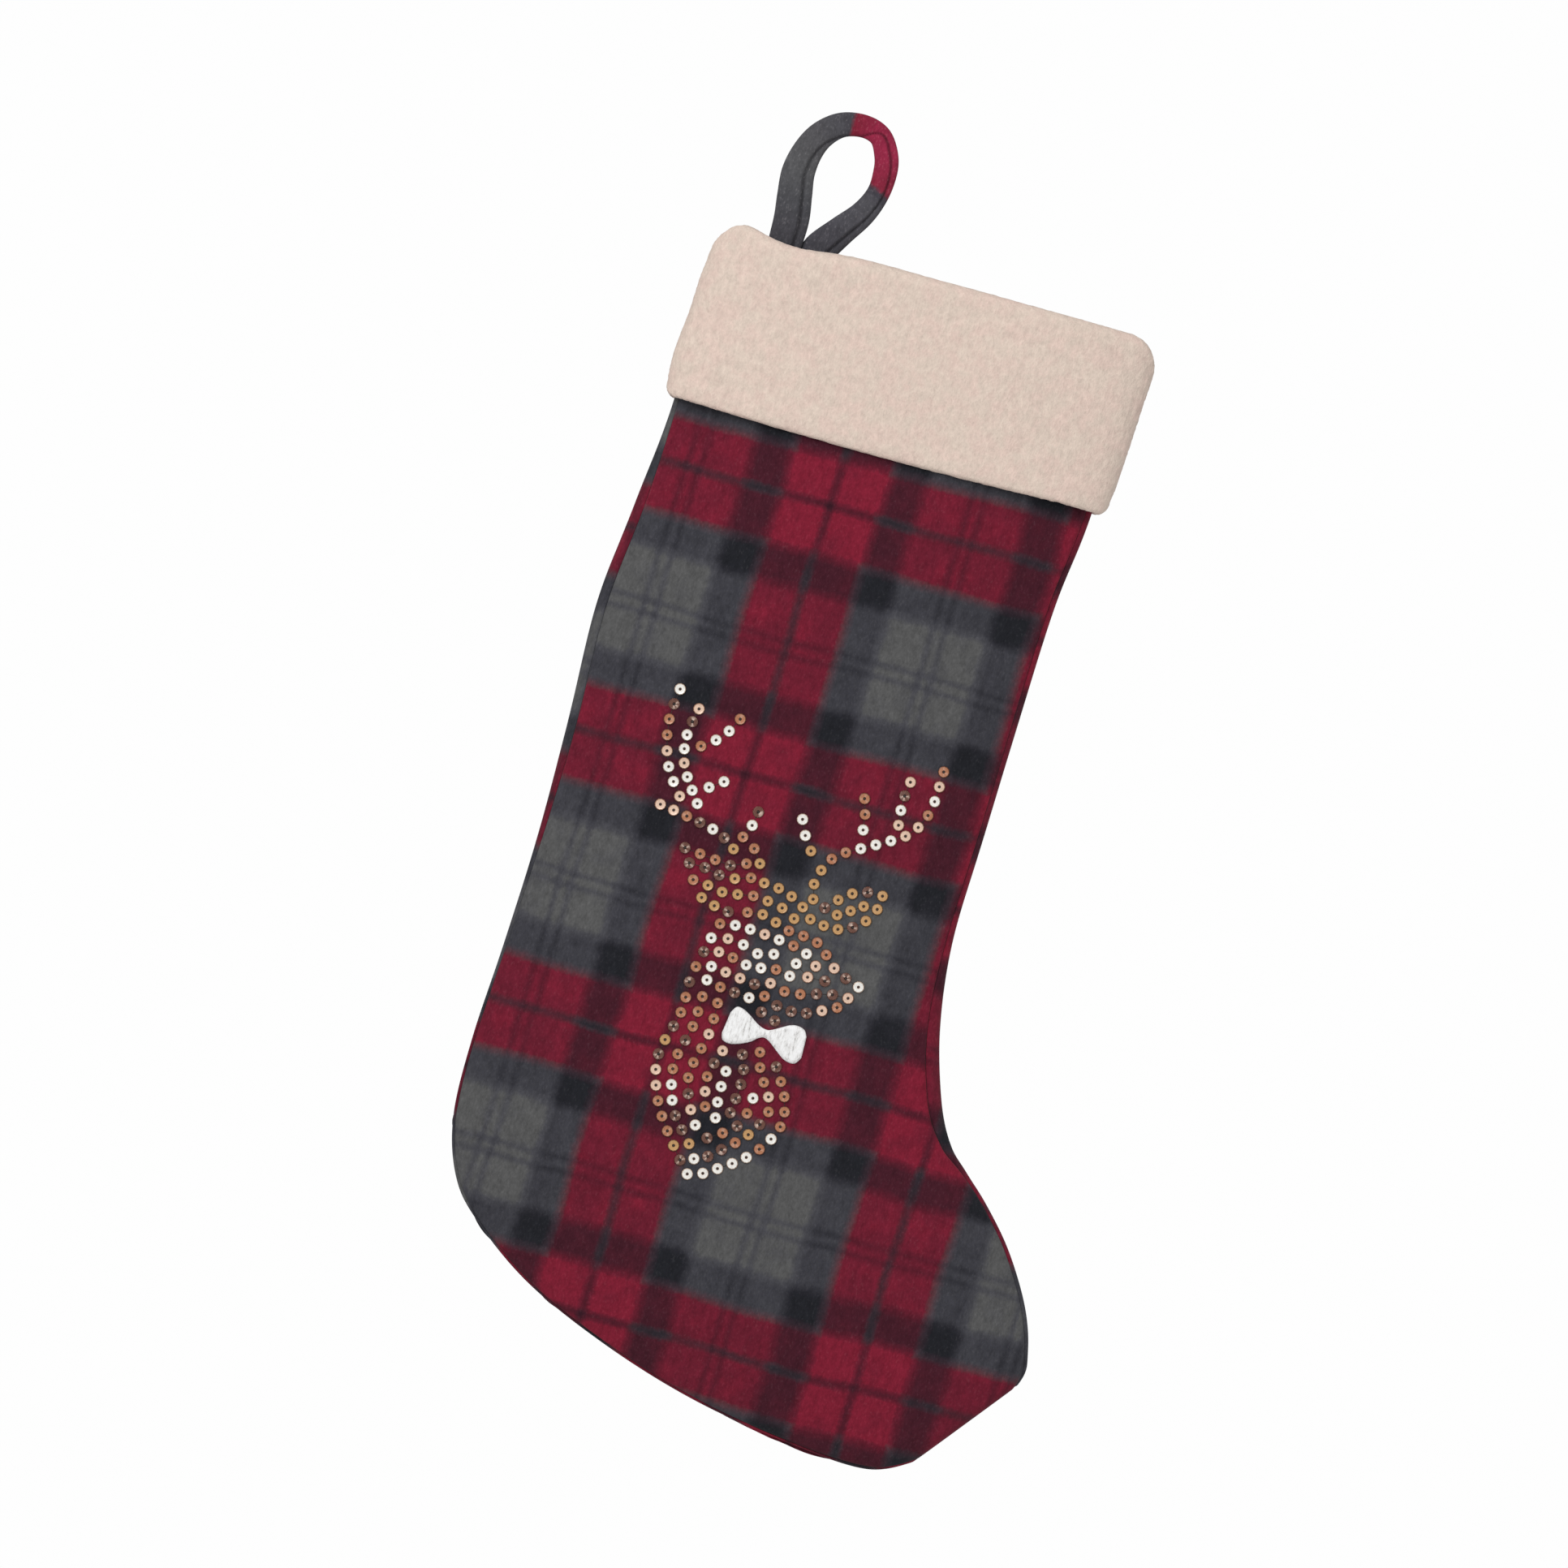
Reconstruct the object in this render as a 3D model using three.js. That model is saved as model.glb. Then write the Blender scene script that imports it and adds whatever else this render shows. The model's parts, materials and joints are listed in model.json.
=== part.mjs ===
// Hanging stocking with a turned-down cuff, a hanging loop and a motif of sewn sequins.
//
// Millimetres, +Z up. The origin is the hook point: the top of the opening inside the hanging
// loop. The leg hangs along -Z, the toe points along +X, and the front faces -Y.
//
// Every cloth piece starts as a box divided into a grid, and each point of the box is then moved
// onto the stocking's surface. A point of that surface is given by its side (front or back), by
// how far it is across (0 at the heel-side seam, 1 at the toe-side seam), by how far it is along
// (0 at the top of the leg, 1 at the end of the toe) and by its inset below the outer surface.

import * as THREE from 'three';

// ---- Driving dimensions -------------------------------------------------------------------

// Leg and foot.
const STOCKING_HEIGHT = 494.5; // rim to the lowest point of the sole
const MOUTH_WIDTH = 187.5; // seam to seam at the top of the leg
const ANKLE_WIDTH = 182.5;
const ANKLE_HEIGHT = 229.5; // sole to the narrowest part of the leg
const FOOT_LENGTH = 265.4; // back of the heel to the tip of the toe
const HEEL_BULGE = 10.4; // how far the heel stands behind the mouth's seam
const BODY_THICKNESS = 26; // front to back, without the cuff
const SIDE_ROUNDNESS = 3; // 2 is an oval section, more is a flatter one
const FLAT_FROM = 0.97; // share of the roundness from which the front and back are flat
const TOE_ROUNDNESS = 2.5;

// Cloth.
const PANEL_THICKNESS = 2;
const LINING_THICKNESS = 1;
const BACKING_THICKNESS = 0.5;
const SEAM_GAP = 0.3; // between the front and back pieces
const LAYER_GAP = 0.35; // between one layer of cloth and the next

// Cuff.
const CUFF_HEIGHT = 78;
const CUFF_THICKNESS = 4; // the fleece is folded double
const CUFF_CLEARANCE = 0.5;

// Hanging loop.
const HOOK_TO_RIM = 51;
const HOOK_TO_HEEL_SEAM = 48.5;
const STRAP_WIDTH = 12;
const STRAP_THICKNESS = 3;
const LOOP_OPENING = 22.4; // inner width of the loop
const TAIL_LENGTH = 34;
const TAIL_SET_BACK = 3.6; // how far the tails bend towards the back lining
const TACK_LENGTH = 9;
const TACK_WIDTH = 2.4;
const TACK_THICKNESS = 0.8;

// Sequins and bow tie. The bow tie's sizes go with 5 mm sequins, and grow with them.
const SEQUIN_DIAMETER = 5;
const STRAND_THICKNESS = 1;
const THREAD_WIDTH = 0.8;
const MOTIF_ACROSS = 93.5; // heel-side seam of the mouth to the motif's centre
const MOTIF_ABOVE_ANKLE_LINE = -30; // the motif's centre above the narrowest part of the leg
const BOW_LENGTH = 35;
const BOW_LOBE_HEIGHT = 16;
const BOW_WAIST_HEIGHT = 3.4;

// Grid steps of the cloth pieces.
const STEPS_ACROSS = 12;
const STEPS_ALONG = 26;

// ---- Worked out from the dimensions -------------------------------------------------------

const FRONT = -1;
const BACK = 1;
const SOLE = -STOCKING_HEIGHT;
const ANKLE = SOLE + ANKLE_HEIGHT;
const HEEL = -HEEL_BULGE;
const TOE = HEEL + FOOT_LENGTH;
const ANKLE_BACK = HEEL + 3.9;
const ANKLE_FRONT = ANKLE_BACK + ANKLE_WIDTH;
const HALF_THICKNESS = BODY_THICKNESS / 2;

const LINING_INSET = PANEL_THICKNESS + BACKING_THICKNESS + 2 * LAYER_GAP;
const WALL = LINING_INSET + LINING_THICKNESS;
const FOLD_OUTER_INSET = -(CUFF_CLEARANCE + CUFF_THICKNESS / 2);
const FOLD_RADIUS = (WALL / 2 - FOLD_OUTER_INSET) / 2;
const LEG_TOP = -(FOLD_RADIUS + CUFF_THICKNESS / 2 + LAYER_GAP);
const CUFF_HEM = -CUFF_HEIGHT;

// ---- Outline of the leg and foot ----------------------------------------------------------

// Places along the foot: from the back of the heel to the toe, and from the ankle to the toe.
function alongFoot(share) {
  return HEEL + share * FOOT_LENGTH;
}

function alongInstep(share) {
  return ANKLE_FRONT + share * (TOE - ANKLE_FRONT);
}

// The two seams run from the mouth to the toe, and each point of one belongs to the same point
// of the other: the cloth's cross lines join them.
const heelSeam = new THREE.SplineCurve([
  new THREE.Vector2(0, LEG_TOP),
  new THREE.Vector2(0, CUFF_HEM),
  new THREE.Vector2(HEEL + 2.9, (CUFF_HEM + ANKLE) / 2),
  new THREE.Vector2(ANKLE_BACK, ANKLE),
  new THREE.Vector2(HEEL + 1.4, SOLE + 159.5),
  new THREE.Vector2(HEEL, SOLE + 116.5),
  new THREE.Vector2(HEEL + 4.4, SOLE + 81.5),
  new THREE.Vector2(alongFoot(0.092), SOLE + 54.5),
  new THREE.Vector2(alongFoot(0.286), SOLE + 24.5),
  new THREE.Vector2(alongFoot(0.5), SOLE + 7),
  new THREE.Vector2(alongFoot(0.712), SOLE),
  new THREE.Vector2(alongFoot(0.82), SOLE + 2),
  new THREE.Vector2(alongFoot(0.874), SOLE + 9.5),
]);
const toeSeam = new THREE.SplineCurve([
  new THREE.Vector2(MOUTH_WIDTH, LEG_TOP),
  new THREE.Vector2(MOUTH_WIDTH - 3.5, CUFF_HEM),
  new THREE.Vector2(ANKLE_FRONT + 2.5, (CUFF_HEM + ANKLE) / 2),
  new THREE.Vector2(ANKLE_FRONT, ANKLE),
  new THREE.Vector2(alongInstep(0.1), SOLE + 174.5),
  new THREE.Vector2(alongInstep(0.228), SOLE + 147.5),
  new THREE.Vector2(alongInstep(0.29), SOLE + 141),
  new THREE.Vector2(alongInstep(0.43), SOLE + 131),
  new THREE.Vector2(alongInstep(0.665), SOLE + 112.5),
  new THREE.Vector2(alongInstep(0.848), SOLE + 92.5),
  new THREE.Vector2(alongInstep(0.962), SOLE + 72.5),
  new THREE.Vector2(alongInstep(0.995), SOLE + 64.5),
  new THREE.Vector2(TOE, SOLE + 57.5),
]);
const CROSS_LINES = toeSeam.points.length - 1;
const CUFF_SHARE = 1 / CROSS_LINES; // the hem is level with the second point of the seams
const TOE_SHARE = 4 / CROSS_LINES; // the last part, where the foot gets thin
const toeStep = toeSeam.points[CROSS_LINES].distanceTo(toeSeam.points[CROSS_LINES - 1]);

// Share of the full thickness at a place across, and at a place along.
function thicknessAcross(across) {
  const fromMiddle = Math.abs(2 * across - 1);
  const rounded = Math.pow(1 - Math.pow(fromMiddle, SIDE_ROUNDNESS), 1 / SIDE_ROUNDNESS);
  return Math.min(rounded / FLAT_FROM, 1);
}

function thicknessAlong(along) {
  const intoToe = Math.max(0, (along - (1 - TOE_SHARE)) / TOE_SHARE);
  return Math.pow(1 - Math.pow(Math.min(intoToe, 1), TOE_ROUNDNESS), 1 / TOE_ROUNDNESS);
}

// A point of the stocking. Inset moves it inwards from the outer surface, rise lifts it.
function surfacePoint(side, across, along, inset, rise = 0) {
  const toeInset = 1 - (Math.max(inset, 0) / toeStep) * (1 / CROSS_LINES);
  const heelPoint = heelSeam.getPoint(along * toeInset);
  const toePoint = toeSeam.getPoint(along * toeInset);
  const width = heelPoint.distanceTo(toePoint);
  const place = heelPoint.lerp(toePoint, (inset + across * (width - 2 * inset)) / width);
  const depth = (HALF_THICKNESS - inset) * thicknessAcross(across) * thicknessAlong(along);
  return new THREE.Vector3(place.x, side * (SEAM_GAP / 2 + depth), place.y + rise);
}

// Half the thickness of the closed stocking at a place seen from the front.
function frontDepth(x, z) {
  const place = new THREE.Vector2(x, z);
  let low = 0;
  let high = 1;
  let across = 0;
  for (let step = 0; step < 30; step += 1) {
    const along = (low + high) / 2;
    const line = toeSeam.getPoint(along).sub(heelSeam.getPoint(along));
    const offset = place.clone().sub(heelSeam.getPoint(along));
    across = offset.dot(line) / line.lengthSq();
    if (line.cross(offset) > 0) {
      high = along;
    } else {
      low = along;
    }
  }
  return SEAM_GAP / 2 + HALF_THICKNESS * thicknessAcross(across) * thicknessAlong(low);
}

// ---- Making a solid from a divided box ----------------------------------------------------

// Signed volume: below zero when the faces point inwards.
function signedVolume(geometry) {
  const points = geometry.attributes.position;
  const corners = [new THREE.Vector3(), new THREE.Vector3(), new THREE.Vector3()];
  let volume = 0;
  for (let i = 0; i < geometry.index.count; i += 3) {
    corners.forEach((corner, n) => corner.fromBufferAttribute(points, geometry.index.getX(i + n)));
    volume += corners[0].dot(corners[1].cross(corners[2])) / 6;
  }
  return volume;
}

function turnOutward(geometry) {
  if (signedVolume(geometry) > 0) {
    return;
  }
  const { index } = geometry;
  for (let i = 0; i < index.count; i += 3) {
    const second = index.getX(i + 1);
    index.setX(i + 1, index.getX(i + 2));
    index.setX(i + 2, second);
  }
}

// Moves every point of a divided unit box: across, along and deep each run from 0 to 1.
function shapedBox(stepsAcross, stepsAlong, placePoint) {
  const geometry = new THREE.BoxGeometry(1, 1, 1, stepsAcross, stepsAlong, 1);
  const points = geometry.attributes.position;
  for (let i = 0; i < points.count; i += 1) {
    const across = points.getX(i) + 0.5;
    const along = points.getY(i) + 0.5;
    const deep = points.getZ(i) + 0.5;
    const moved = placePoint(across, along, deep);
    points.setXYZ(i, moved.x, moved.y, moved.z);
  }
  turnOutward(geometry);
  geometry.computeVertexNormals();
  return geometry;
}

// Closer steps near both seams, where the cloth turns.
function crowdToSeams(share) {
  return 0.5 - 0.5 * Math.cos(Math.PI * share);
}

// ---- Materials ----------------------------------------------------------------------------

function cloth(colour) {
  return new THREE.MeshStandardMaterial({ color: colour, roughness: 0.95, metalness: 0 });
}

function sequinFoil(colour) {
  return new THREE.MeshStandardMaterial({ color: colour, roughness: 0.3, metalness: 0.8 });
}

const TARTAN_RED = 0x7d2033;
const TARTAN_GREY = 0x515055;
const CUFF_CREAM = 0xdccabd;
const LINING_GREY = 0x35343a;
const STABILISER_WHITE = 0xe6e4df;
const LOOP_RED = 0x86303f;
const BOW_WHITE = 0xf1f0ef;
const THREAD_GREY = 0x4a494e;
const COPPER = 0xc08a66;
const CHAMPAGNE = 0xe2c9b4;
const GOLD = 0xc9a878;

function namedMesh(name, geometry, material) {
  const mesh = new THREE.Mesh(geometry, material);
  mesh.name = name;
  return mesh;
}

// ---- Leg: outer panels, linings and stabiliser --------------------------------------------

function clothLayer(side, outerInset, thickness) {
  return shapedBox(STEPS_ACROSS, STEPS_ALONG, (across, along, deep) =>
    surfacePoint(side, crowdToSeams(across), along, outerInset + deep * thickness));
}

// A sheet behind the motif, between the front panel and its lining.
function stabiliserSheet() {
  const outerInset = PANEL_THICKNESS + LAYER_GAP;
  const firstLine = 1.9 / CROSS_LINES;
  const lastLine = 5.1 / CROSS_LINES;
  return shapedBox(8, 10, (across, along, deep) => surfacePoint(
    FRONT,
    0.16 + 0.72 * across,
    firstLine + (lastLine - firstLine) * along,
    outerInset + deep * BACKING_THICKNESS,
  ));
}

// ---- Cuff ---------------------------------------------------------------------------------

// The cuff's cloth goes from the hem up the outside and over the top in a half circle, and ends
// on the top edge of the leg, where it is sewn.
function cuffHalf(side) {
  const flapSteps = 6;
  const foldSteps = 6;
  const foldStart = flapSteps / (flapSteps + foldSteps);
  return shapedBox(STEPS_ACROSS, flapSteps + foldSteps, (across, up, deep) => {
    const outward = (deep - 0.5) * CUFF_THICKNESS;
    const seamShare = crowdToSeams(across);
    if (up <= foldStart) {
      const along = CUFF_SHARE * (1 - up / foldStart);
      return surfacePoint(side, seamShare, along, FOLD_OUTER_INSET - outward);
    }
    const turn = (Math.PI * (up - foldStart)) / (1 - foldStart);
    const radius = FOLD_RADIUS + outward;
    const inset = FOLD_OUTER_INSET + FOLD_RADIUS - radius * Math.cos(turn);
    return surfacePoint(side, seamShare, 0, inset, radius * Math.sin(turn));
  });
}

// ---- Hanging loop -------------------------------------------------------------------------

// Half the loop's width at its centreline, and the centres of its two ends at the rim.
const LOOP_HALF = (LOOP_OPENING + STRAP_WIDTH) / 2;
const LOOP_MIDDLE = -4.2;
const HINGE_Z = -HOOK_TO_RIM;
const TURN_CLEARANCE = 0.5; // between a tail's round top and the loop's end above it
const LOOP_END = HINGE_Z + STRAP_THICKNESS / 2 + TURN_CLEARANCE;
const LEFT_END = LOOP_MIDDLE - LOOP_HALF + 1;
const RIGHT_END = LEFT_END + STRAP_WIDTH + 4;

function strapSection() {
  const section = new THREE.Shape();
  const corner = 0.8;
  const halfThickness = STRAP_THICKNESS / 2;
  const halfWidth = STRAP_WIDTH / 2;
  section.moveTo(-halfThickness, corner - halfWidth);
  section.lineTo(-halfThickness, halfWidth - corner);
  section.lineTo(corner - halfThickness, halfWidth);
  section.lineTo(halfThickness - corner, halfWidth);
  section.lineTo(halfThickness, halfWidth - corner);
  section.lineTo(halfThickness, corner - halfWidth);
  section.lineTo(halfThickness - corner, -halfWidth);
  section.lineTo(corner - halfThickness, -halfWidth);
  section.closePath();
  return section;
}

// The strap leaves the mouth at the left, bends over the hook and comes back beside itself.
function loopStrap() {
  const top = STRAP_WIDTH / 2;
  const path = new THREE.CatmullRomCurve3([
    new THREE.Vector3(LEFT_END, 0, LOOP_END),
    new THREE.Vector3(LEFT_END, 0, LOOP_END + 8),
    new THREE.Vector3(LOOP_MIDDLE - LOOP_HALF, 0, HINGE_Z * 0.45),
    new THREE.Vector3(LOOP_MIDDLE - LOOP_HALF * 0.8, 0, top - LOOP_HALF * 0.66),
    new THREE.Vector3(LOOP_MIDDLE, 0, top - 0.6),
    new THREE.Vector3(LOOP_MIDDLE + LOOP_HALF * 0.8, 0, top - LOOP_HALF * 0.58),
    new THREE.Vector3(LOOP_MIDDLE + LOOP_HALF, 0, HINGE_Z * 0.36),
    new THREE.Vector3(RIGHT_END + 6.5, 0, HINGE_Z * 0.66),
    new THREE.Vector3(RIGHT_END, 0, LOOP_END + 3.5),
    new THREE.Vector3(RIGHT_END, 0, LOOP_END),
  ]);
  return new THREE.ExtrudeGeometry(strapSection(), { steps: 40, extrudePath: path });
}

// Place of a tail's centreline behind the hinge at a depth below it.
function tailSetBack(down) {
  const share = Math.min(down / (TAIL_LENGTH * 0.7), 1);
  return TAIL_SET_BACK * share * share * (3 - 2 * share);
}

// Seen from the side: round at the top, about the hinge line, and bent back to the lining.
function loopTail(centreX) {
  const steps = 8;
  const radius = STRAP_THICKNESS / 2;
  const outline = new THREE.Shape();
  outline.absarc(0, 0, radius, 0, Math.PI, false);
  for (let i = 1; i <= steps; i += 1) {
    const down = (TAIL_LENGTH * i) / steps;
    outline.lineTo(tailSetBack(down) - radius, -down);
  }
  for (let i = steps; i >= 1; i -= 1) {
    const down = (TAIL_LENGTH * i) / steps;
    outline.lineTo(tailSetBack(down) + radius, -down);
  }
  outline.closePath();
  const geometry = new THREE.ExtrudeGeometry(outline, {
    depth: STRAP_WIDTH, bevelEnabled: false, curveSegments: 8,
  });
  geometry.rotateX(Math.PI / 2);
  geometry.rotateZ(Math.PI / 2);
  geometry.translate(centreX - STRAP_WIDTH / 2, 0, HINGE_Z);
  return geometry;
}

function barTack(centreX) {
  const geometry = new THREE.BoxGeometry(TACK_LENGTH, TACK_THICKNESS, TACK_WIDTH);
  const front = TAIL_SET_BACK - STRAP_THICKNESS / 2 - LAYER_GAP;
  const z = HINGE_Z - TAIL_LENGTH + 1.5 * TACK_WIDTH;
  geometry.translate(centreX, front - TACK_THICKNESS / 2, z);
  return geometry;
}

// ---- Sequin motif -------------------------------------------------------------------------

const MOTIF_Z = ANKLE + MOTIF_ABOVE_ANKLE_LINE;
const MOTIF_SCALE = SEQUIN_DIAMETER / 5; // the strands are laid out for 5 mm sequins

// Each strand is a thread with a number of sequins at equal steps: its name, its foil, how many
// sequins it has, and the points that it follows, from the motif's centre, right and up.
const STRANDS = [
  ['left_antler_outer', CHAMPAGNE, 8, [[-58, 99], [-59, 84], [-54.5, 67], [-46, 55]]],
  ['left_antler_middle', CHAMPAGNE, 8, [[-48, 93], [-50, 81], [-47.5, 68], [-38, 54]]],
  ['left_antler_high_branch', COPPER, 4, [[-30, 93.5], [-35, 84.5], [-43, 78]]],
  ['left_antler_low_branch', CHAMPAGNE, 2, [[-29.5, 66], [-35, 62]]],
  ['left_antler_beam', COPPER, 7, [[-53, 49.5], [-40, 47.5], [-26, 44.5], [-18, 39.5]]],
  ['left_antler_brow_tine', COPPER, 3, [[-12, 57.5], [-13, 51], [-15.5, 45.5]]],
  ['left_antler_base', GOLD, 2, [[-9.5, 42], [-5.5, 36.5]]],
  ['right_antler_inner_tine', CHAMPAGNE, 3, [[7, 59.5], [10, 53], [14, 47.5]]],
  ['right_antler_beam', CHAMPAGNE, 14,
    [[20.5, 28], [19, 34.5], [24, 47.3], [41, 58], [52.5, 65.5], [58.5, 77], [59.5, 95]]],
  ['right_antler_middle_tine', CHAMPAGNE, 4, [[47, 87], [46, 78], [47, 68]]],
  ['right_antler_small_tine', COPPER, 3, [[30, 75], [32, 69], [33, 62]]],
  ['left_ear_top', COPPER, 5, [[-38, 34.5], [-24, 33], [-17.5, 32.3], [-11, 35]]],
  ['left_ear_middle', COPPER, 5, [[-34.5, 28.7], [-28, 28.8], [-17.5, 26.8], [-7.5, 29.7]]],
  ['left_ear_lower', GOLD, 5, [[-31, 22.3], [-24, 21.7], [-17.5, 20.5], [-4.5, 22.5]]],
  ['left_ear_edge', GOLD, 3, [[-25.5, 16], [-19.5, 14], [-13, 13.2]]],
  ['crown_top', GOLD, 4, [[-1.5, 29], [8, 28], [17, 23.5]]],
  ['crown_middle', GOLD, 3, [[2, 22], [9, 20.8], [14.8, 17.8]]],
  ['right_ear_top', GOLD, 5, [[26.2, 25.7], [34, 33.5], [41.5, 37], [48.5, 37]]],
  ['right_ear_middle', GOLD, 4, [[32, 24.2], [38, 28], [42, 31], [47.8, 31]]],
  ['right_ear_lower', GOLD, 5, [[21.5, 19.5], [31, 18], [38.5, 20], [44.5, 25]]],
  ['forehead', COPPER, 10, [[-5, 15], [2, 16], [14, 12.2], [27, 10.7], [37.5, 1.5], [49, -3]]],
  ['face_upper', CHAMPAGNE, 8, [[-15, 7.3], [-7, 8.6], [5, 8], [18, 6.5], [24.3, 4.6], [29, 0.7]]],
  ['cheek_upper', CHAMPAGNE, 5, [[-17, 0.5], [-8.5, 2.3], [-1, 0.8], [5, -1], [10.5, 1]]],
  ['muzzle_upper', CHAMPAGNE, 3, [[20.8, -0.4], [27, -4.9], [34.5, -4.3]]],
  ['cheek_middle', COPPER, 7, [[-18.5, -6], [-10.7, -4.2], [2, -6.8], [13, -5], [19.5, -6.3]]],
  ['muzzle_middle', COPPER, 6, [[12.5, -11.3], [20, -13.3], [28, -12], [37, -9.3], [46, -8.8]]],
  ['cheek_lower', CHAMPAGNE, 5, [[-20, -13], [-13.5, -11], [-6.5, -12], [6, -13.5]]],
  ['jaw', COPPER, 6, [[11.5, -17.3], [17, -19.7], [24, -20.6], [31, -19.5], [42.5, -13.8]]],
  ['throat', COPPER, 4, [[-14, -17.2], [-7, -18.7], [5.3, -19.7]]],
  ['chin', COPPER, 2, [[12, -24.2], [18.5, -26.3]]],
  ['neck_row_1', COPPER, 14,
    [[-21, -20], [-21, -34], [-25.5, -54], [-20, -73], [-8, -90], [0, -99]]],
  ['neck_row_2', GOLD, 12,
    [[-14, -24.5], [-14.5, -38], [-18, -56], [-13, -74], [-3, -86], [1, -92]]],
  ['neck_row_3', COPPER, 9, [[-7, -25.5], [-7, -39], [-10.7, -58], [-6, -72], [-2.2, -78]]],
  ['neck_row_4', COPPER, 5, [[0.5, -44.5], [-3, -57], [-0.3, -69.3]]],
  ['neck_row_5', CHAMPAGNE, 4, [[4.2, -52.5], [4, -63], [5.2, -72.8]]],
  ['neck_row_6', COPPER, 5, [[9, -43.8], [11.8, -53], [10.7, -69]]],
  ['neck_row_7', CHAMPAGNE, 5, [[18.3, -60.5], [17.5, -68], [14, -75], [4, -82]]],
  ['neck_row_8', COPPER, 10,
    [[16, -40.8], [18.5, -49], [24.5, -58], [26.2, -65], [20.2, -76.5], [6.4, -89.5]]],
  ['neck_row_9', CHAMPAGNE, 11,
    [[24.3, -45], [28.5, -51.5], [32.6, -61], [32, -72], [22.6, -85.3], [6.3, -97]]],
];

// A strand is a ribbon that is wide at each sequin and thin as thread between two of them.
function sequinStrand(count, route) {
  const curve = new THREE.SplineCurve(route.map(([right, up]) =>
    new THREE.Vector2(MOTIF_ACROSS + right * MOTIF_SCALE, MOTIF_Z + up * MOTIF_SCALE)));
  const pitch = curve.getLength() / (count - 1);
  const flat = SEQUIN_DIAMETER * 0.28; // half the straight side of a sequin's six-sided solid
  const wide = SEQUIN_DIAMETER * 0.42;
  const stations = [];
  for (let i = 0; i < count; i += 1) {
    const middle = i * pitch;
    if (i > 0) {
      stations.push([middle - pitch / 2, THREAD_WIDTH / 2]);
    }
    stations.push([middle - flat, wide], [middle + flat, wide]);
  }
  const places = stations.map(([distance, halfWidth]) => {
    const share = THREE.MathUtils.clamp(distance / curve.getLength(), 0, 1);
    const centre = curve.getPointAt(share);
    const direction = curve.getTangentAt(share);
    centre.addScaledVector(direction, distance - share * curve.getLength());
    return { centre, direction, halfWidth };
  });
  return shapedBox(places.length - 1, 1, (along, across, deep) => {
    const { centre, direction, halfWidth } = places[Math.round(along * (places.length - 1))];
    const sideways = (across * 2 - 1) * halfWidth;
    const x = centre.x - direction.y * sideways;
    const z = centre.y + direction.x * sideways;
    return new THREE.Vector3(x, -frontDepth(x, z) - LAYER_GAP - deep * STRAND_THICKNESS, z);
  });
}

// Two lobes that are narrow at the waist between them.
function bowTie() {
  const centreX = MOTIF_ACROSS + 16 * MOTIF_SCALE;
  const centreZ = MOTIF_Z - 33.5 * MOTIF_SCALE;
  return shapedBox(12, 2, (across, up, deep) => {
    const right = across * 2 - 1;
    const out = Math.min(Math.abs(right) / 0.7, 1);
    const lobe = out * out * (3 - 2 * out);
    const endRound = 1 - 0.12 * Math.max(0, (Math.abs(right) - 0.8) / 0.2);
    const height = (BOW_WAIST_HEIGHT + (BOW_LOBE_HEIGHT - BOW_WAIST_HEIGHT) * lobe) * endRound;
    const x = centreX + (right * BOW_LENGTH * MOTIF_SCALE) / 2;
    const z = centreZ + (up - 0.5) * height * MOTIF_SCALE;
    return new THREE.Vector3(x, -frontDepth(x, z) - LAYER_GAP - deep * STRAND_THICKNESS, z);
  });
}

// ---- The stocking -------------------------------------------------------------------------

const stocking = new THREE.Group();
stocking.position.set(-HOOK_TO_HEEL_SEAM, 0, -HOOK_TO_RIM);
stocking.add(
  namedMesh('front_panel', clothLayer(FRONT, 0, PANEL_THICKNESS), cloth(TARTAN_RED)),
  namedMesh('back_panel', clothLayer(BACK, 0, PANEL_THICKNESS), cloth(TARTAN_GREY)),
  namedMesh('front_lining', clothLayer(FRONT, LINING_INSET, LINING_THICKNESS), cloth(LINING_GREY)),
  namedMesh('back_lining', clothLayer(BACK, LINING_INSET, LINING_THICKNESS), cloth(LINING_GREY)),
  namedMesh('motif_stabiliser', stabiliserSheet(), cloth(STABILISER_WHITE)),
  namedMesh('cuff_front', cuffHalf(FRONT), cloth(CUFF_CREAM)),
  namedMesh('cuff_back', cuffHalf(BACK), cloth(CUFF_CREAM)),
  namedMesh('bow_tie', bowTie(), cloth(BOW_WHITE)),
);
for (const [name, foil, count, route] of STRANDS) {
  stocking.add(namedMesh(`${name}_sequins`, sequinStrand(count, route), sequinFoil(foil)));
}

const hangingStocking = new THREE.Group();
hangingStocking.add(
  stocking,
  namedMesh('hanging_loop', loopStrap(), cloth(LOOP_RED)),
  namedMesh('loop_left_tail', loopTail(LEFT_END), cloth(LOOP_RED)),
  namedMesh('loop_right_tail', loopTail(RIGHT_END), cloth(LOOP_RED)),
  namedMesh('left_bar_tack', barTack(LEFT_END), cloth(THREAD_GREY)),
  namedMesh('right_bar_tack', barTack(RIGHT_END), cloth(THREAD_GREY)),
);

export default hangingStocking;
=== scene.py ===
# %% [markdown]
# # A tartan stocking with a fleece cuff
# A flat stocking is sewn from two panels of brushed fleece, lined with thin cloth, and hung from a
# folded strap. A reindeer of sewn sequins decorates its front. The CAD model gives every piece its
# place. This lesson gives each piece the shape and finish of real cloth, thread and film.

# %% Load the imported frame
import json
import math
import random

import bmesh
import bpy
from mathutils import Matrix, Vector, noise
from mathutils.bvhtree import BVHTree
from mathutils.kdtree import KDTree


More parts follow.
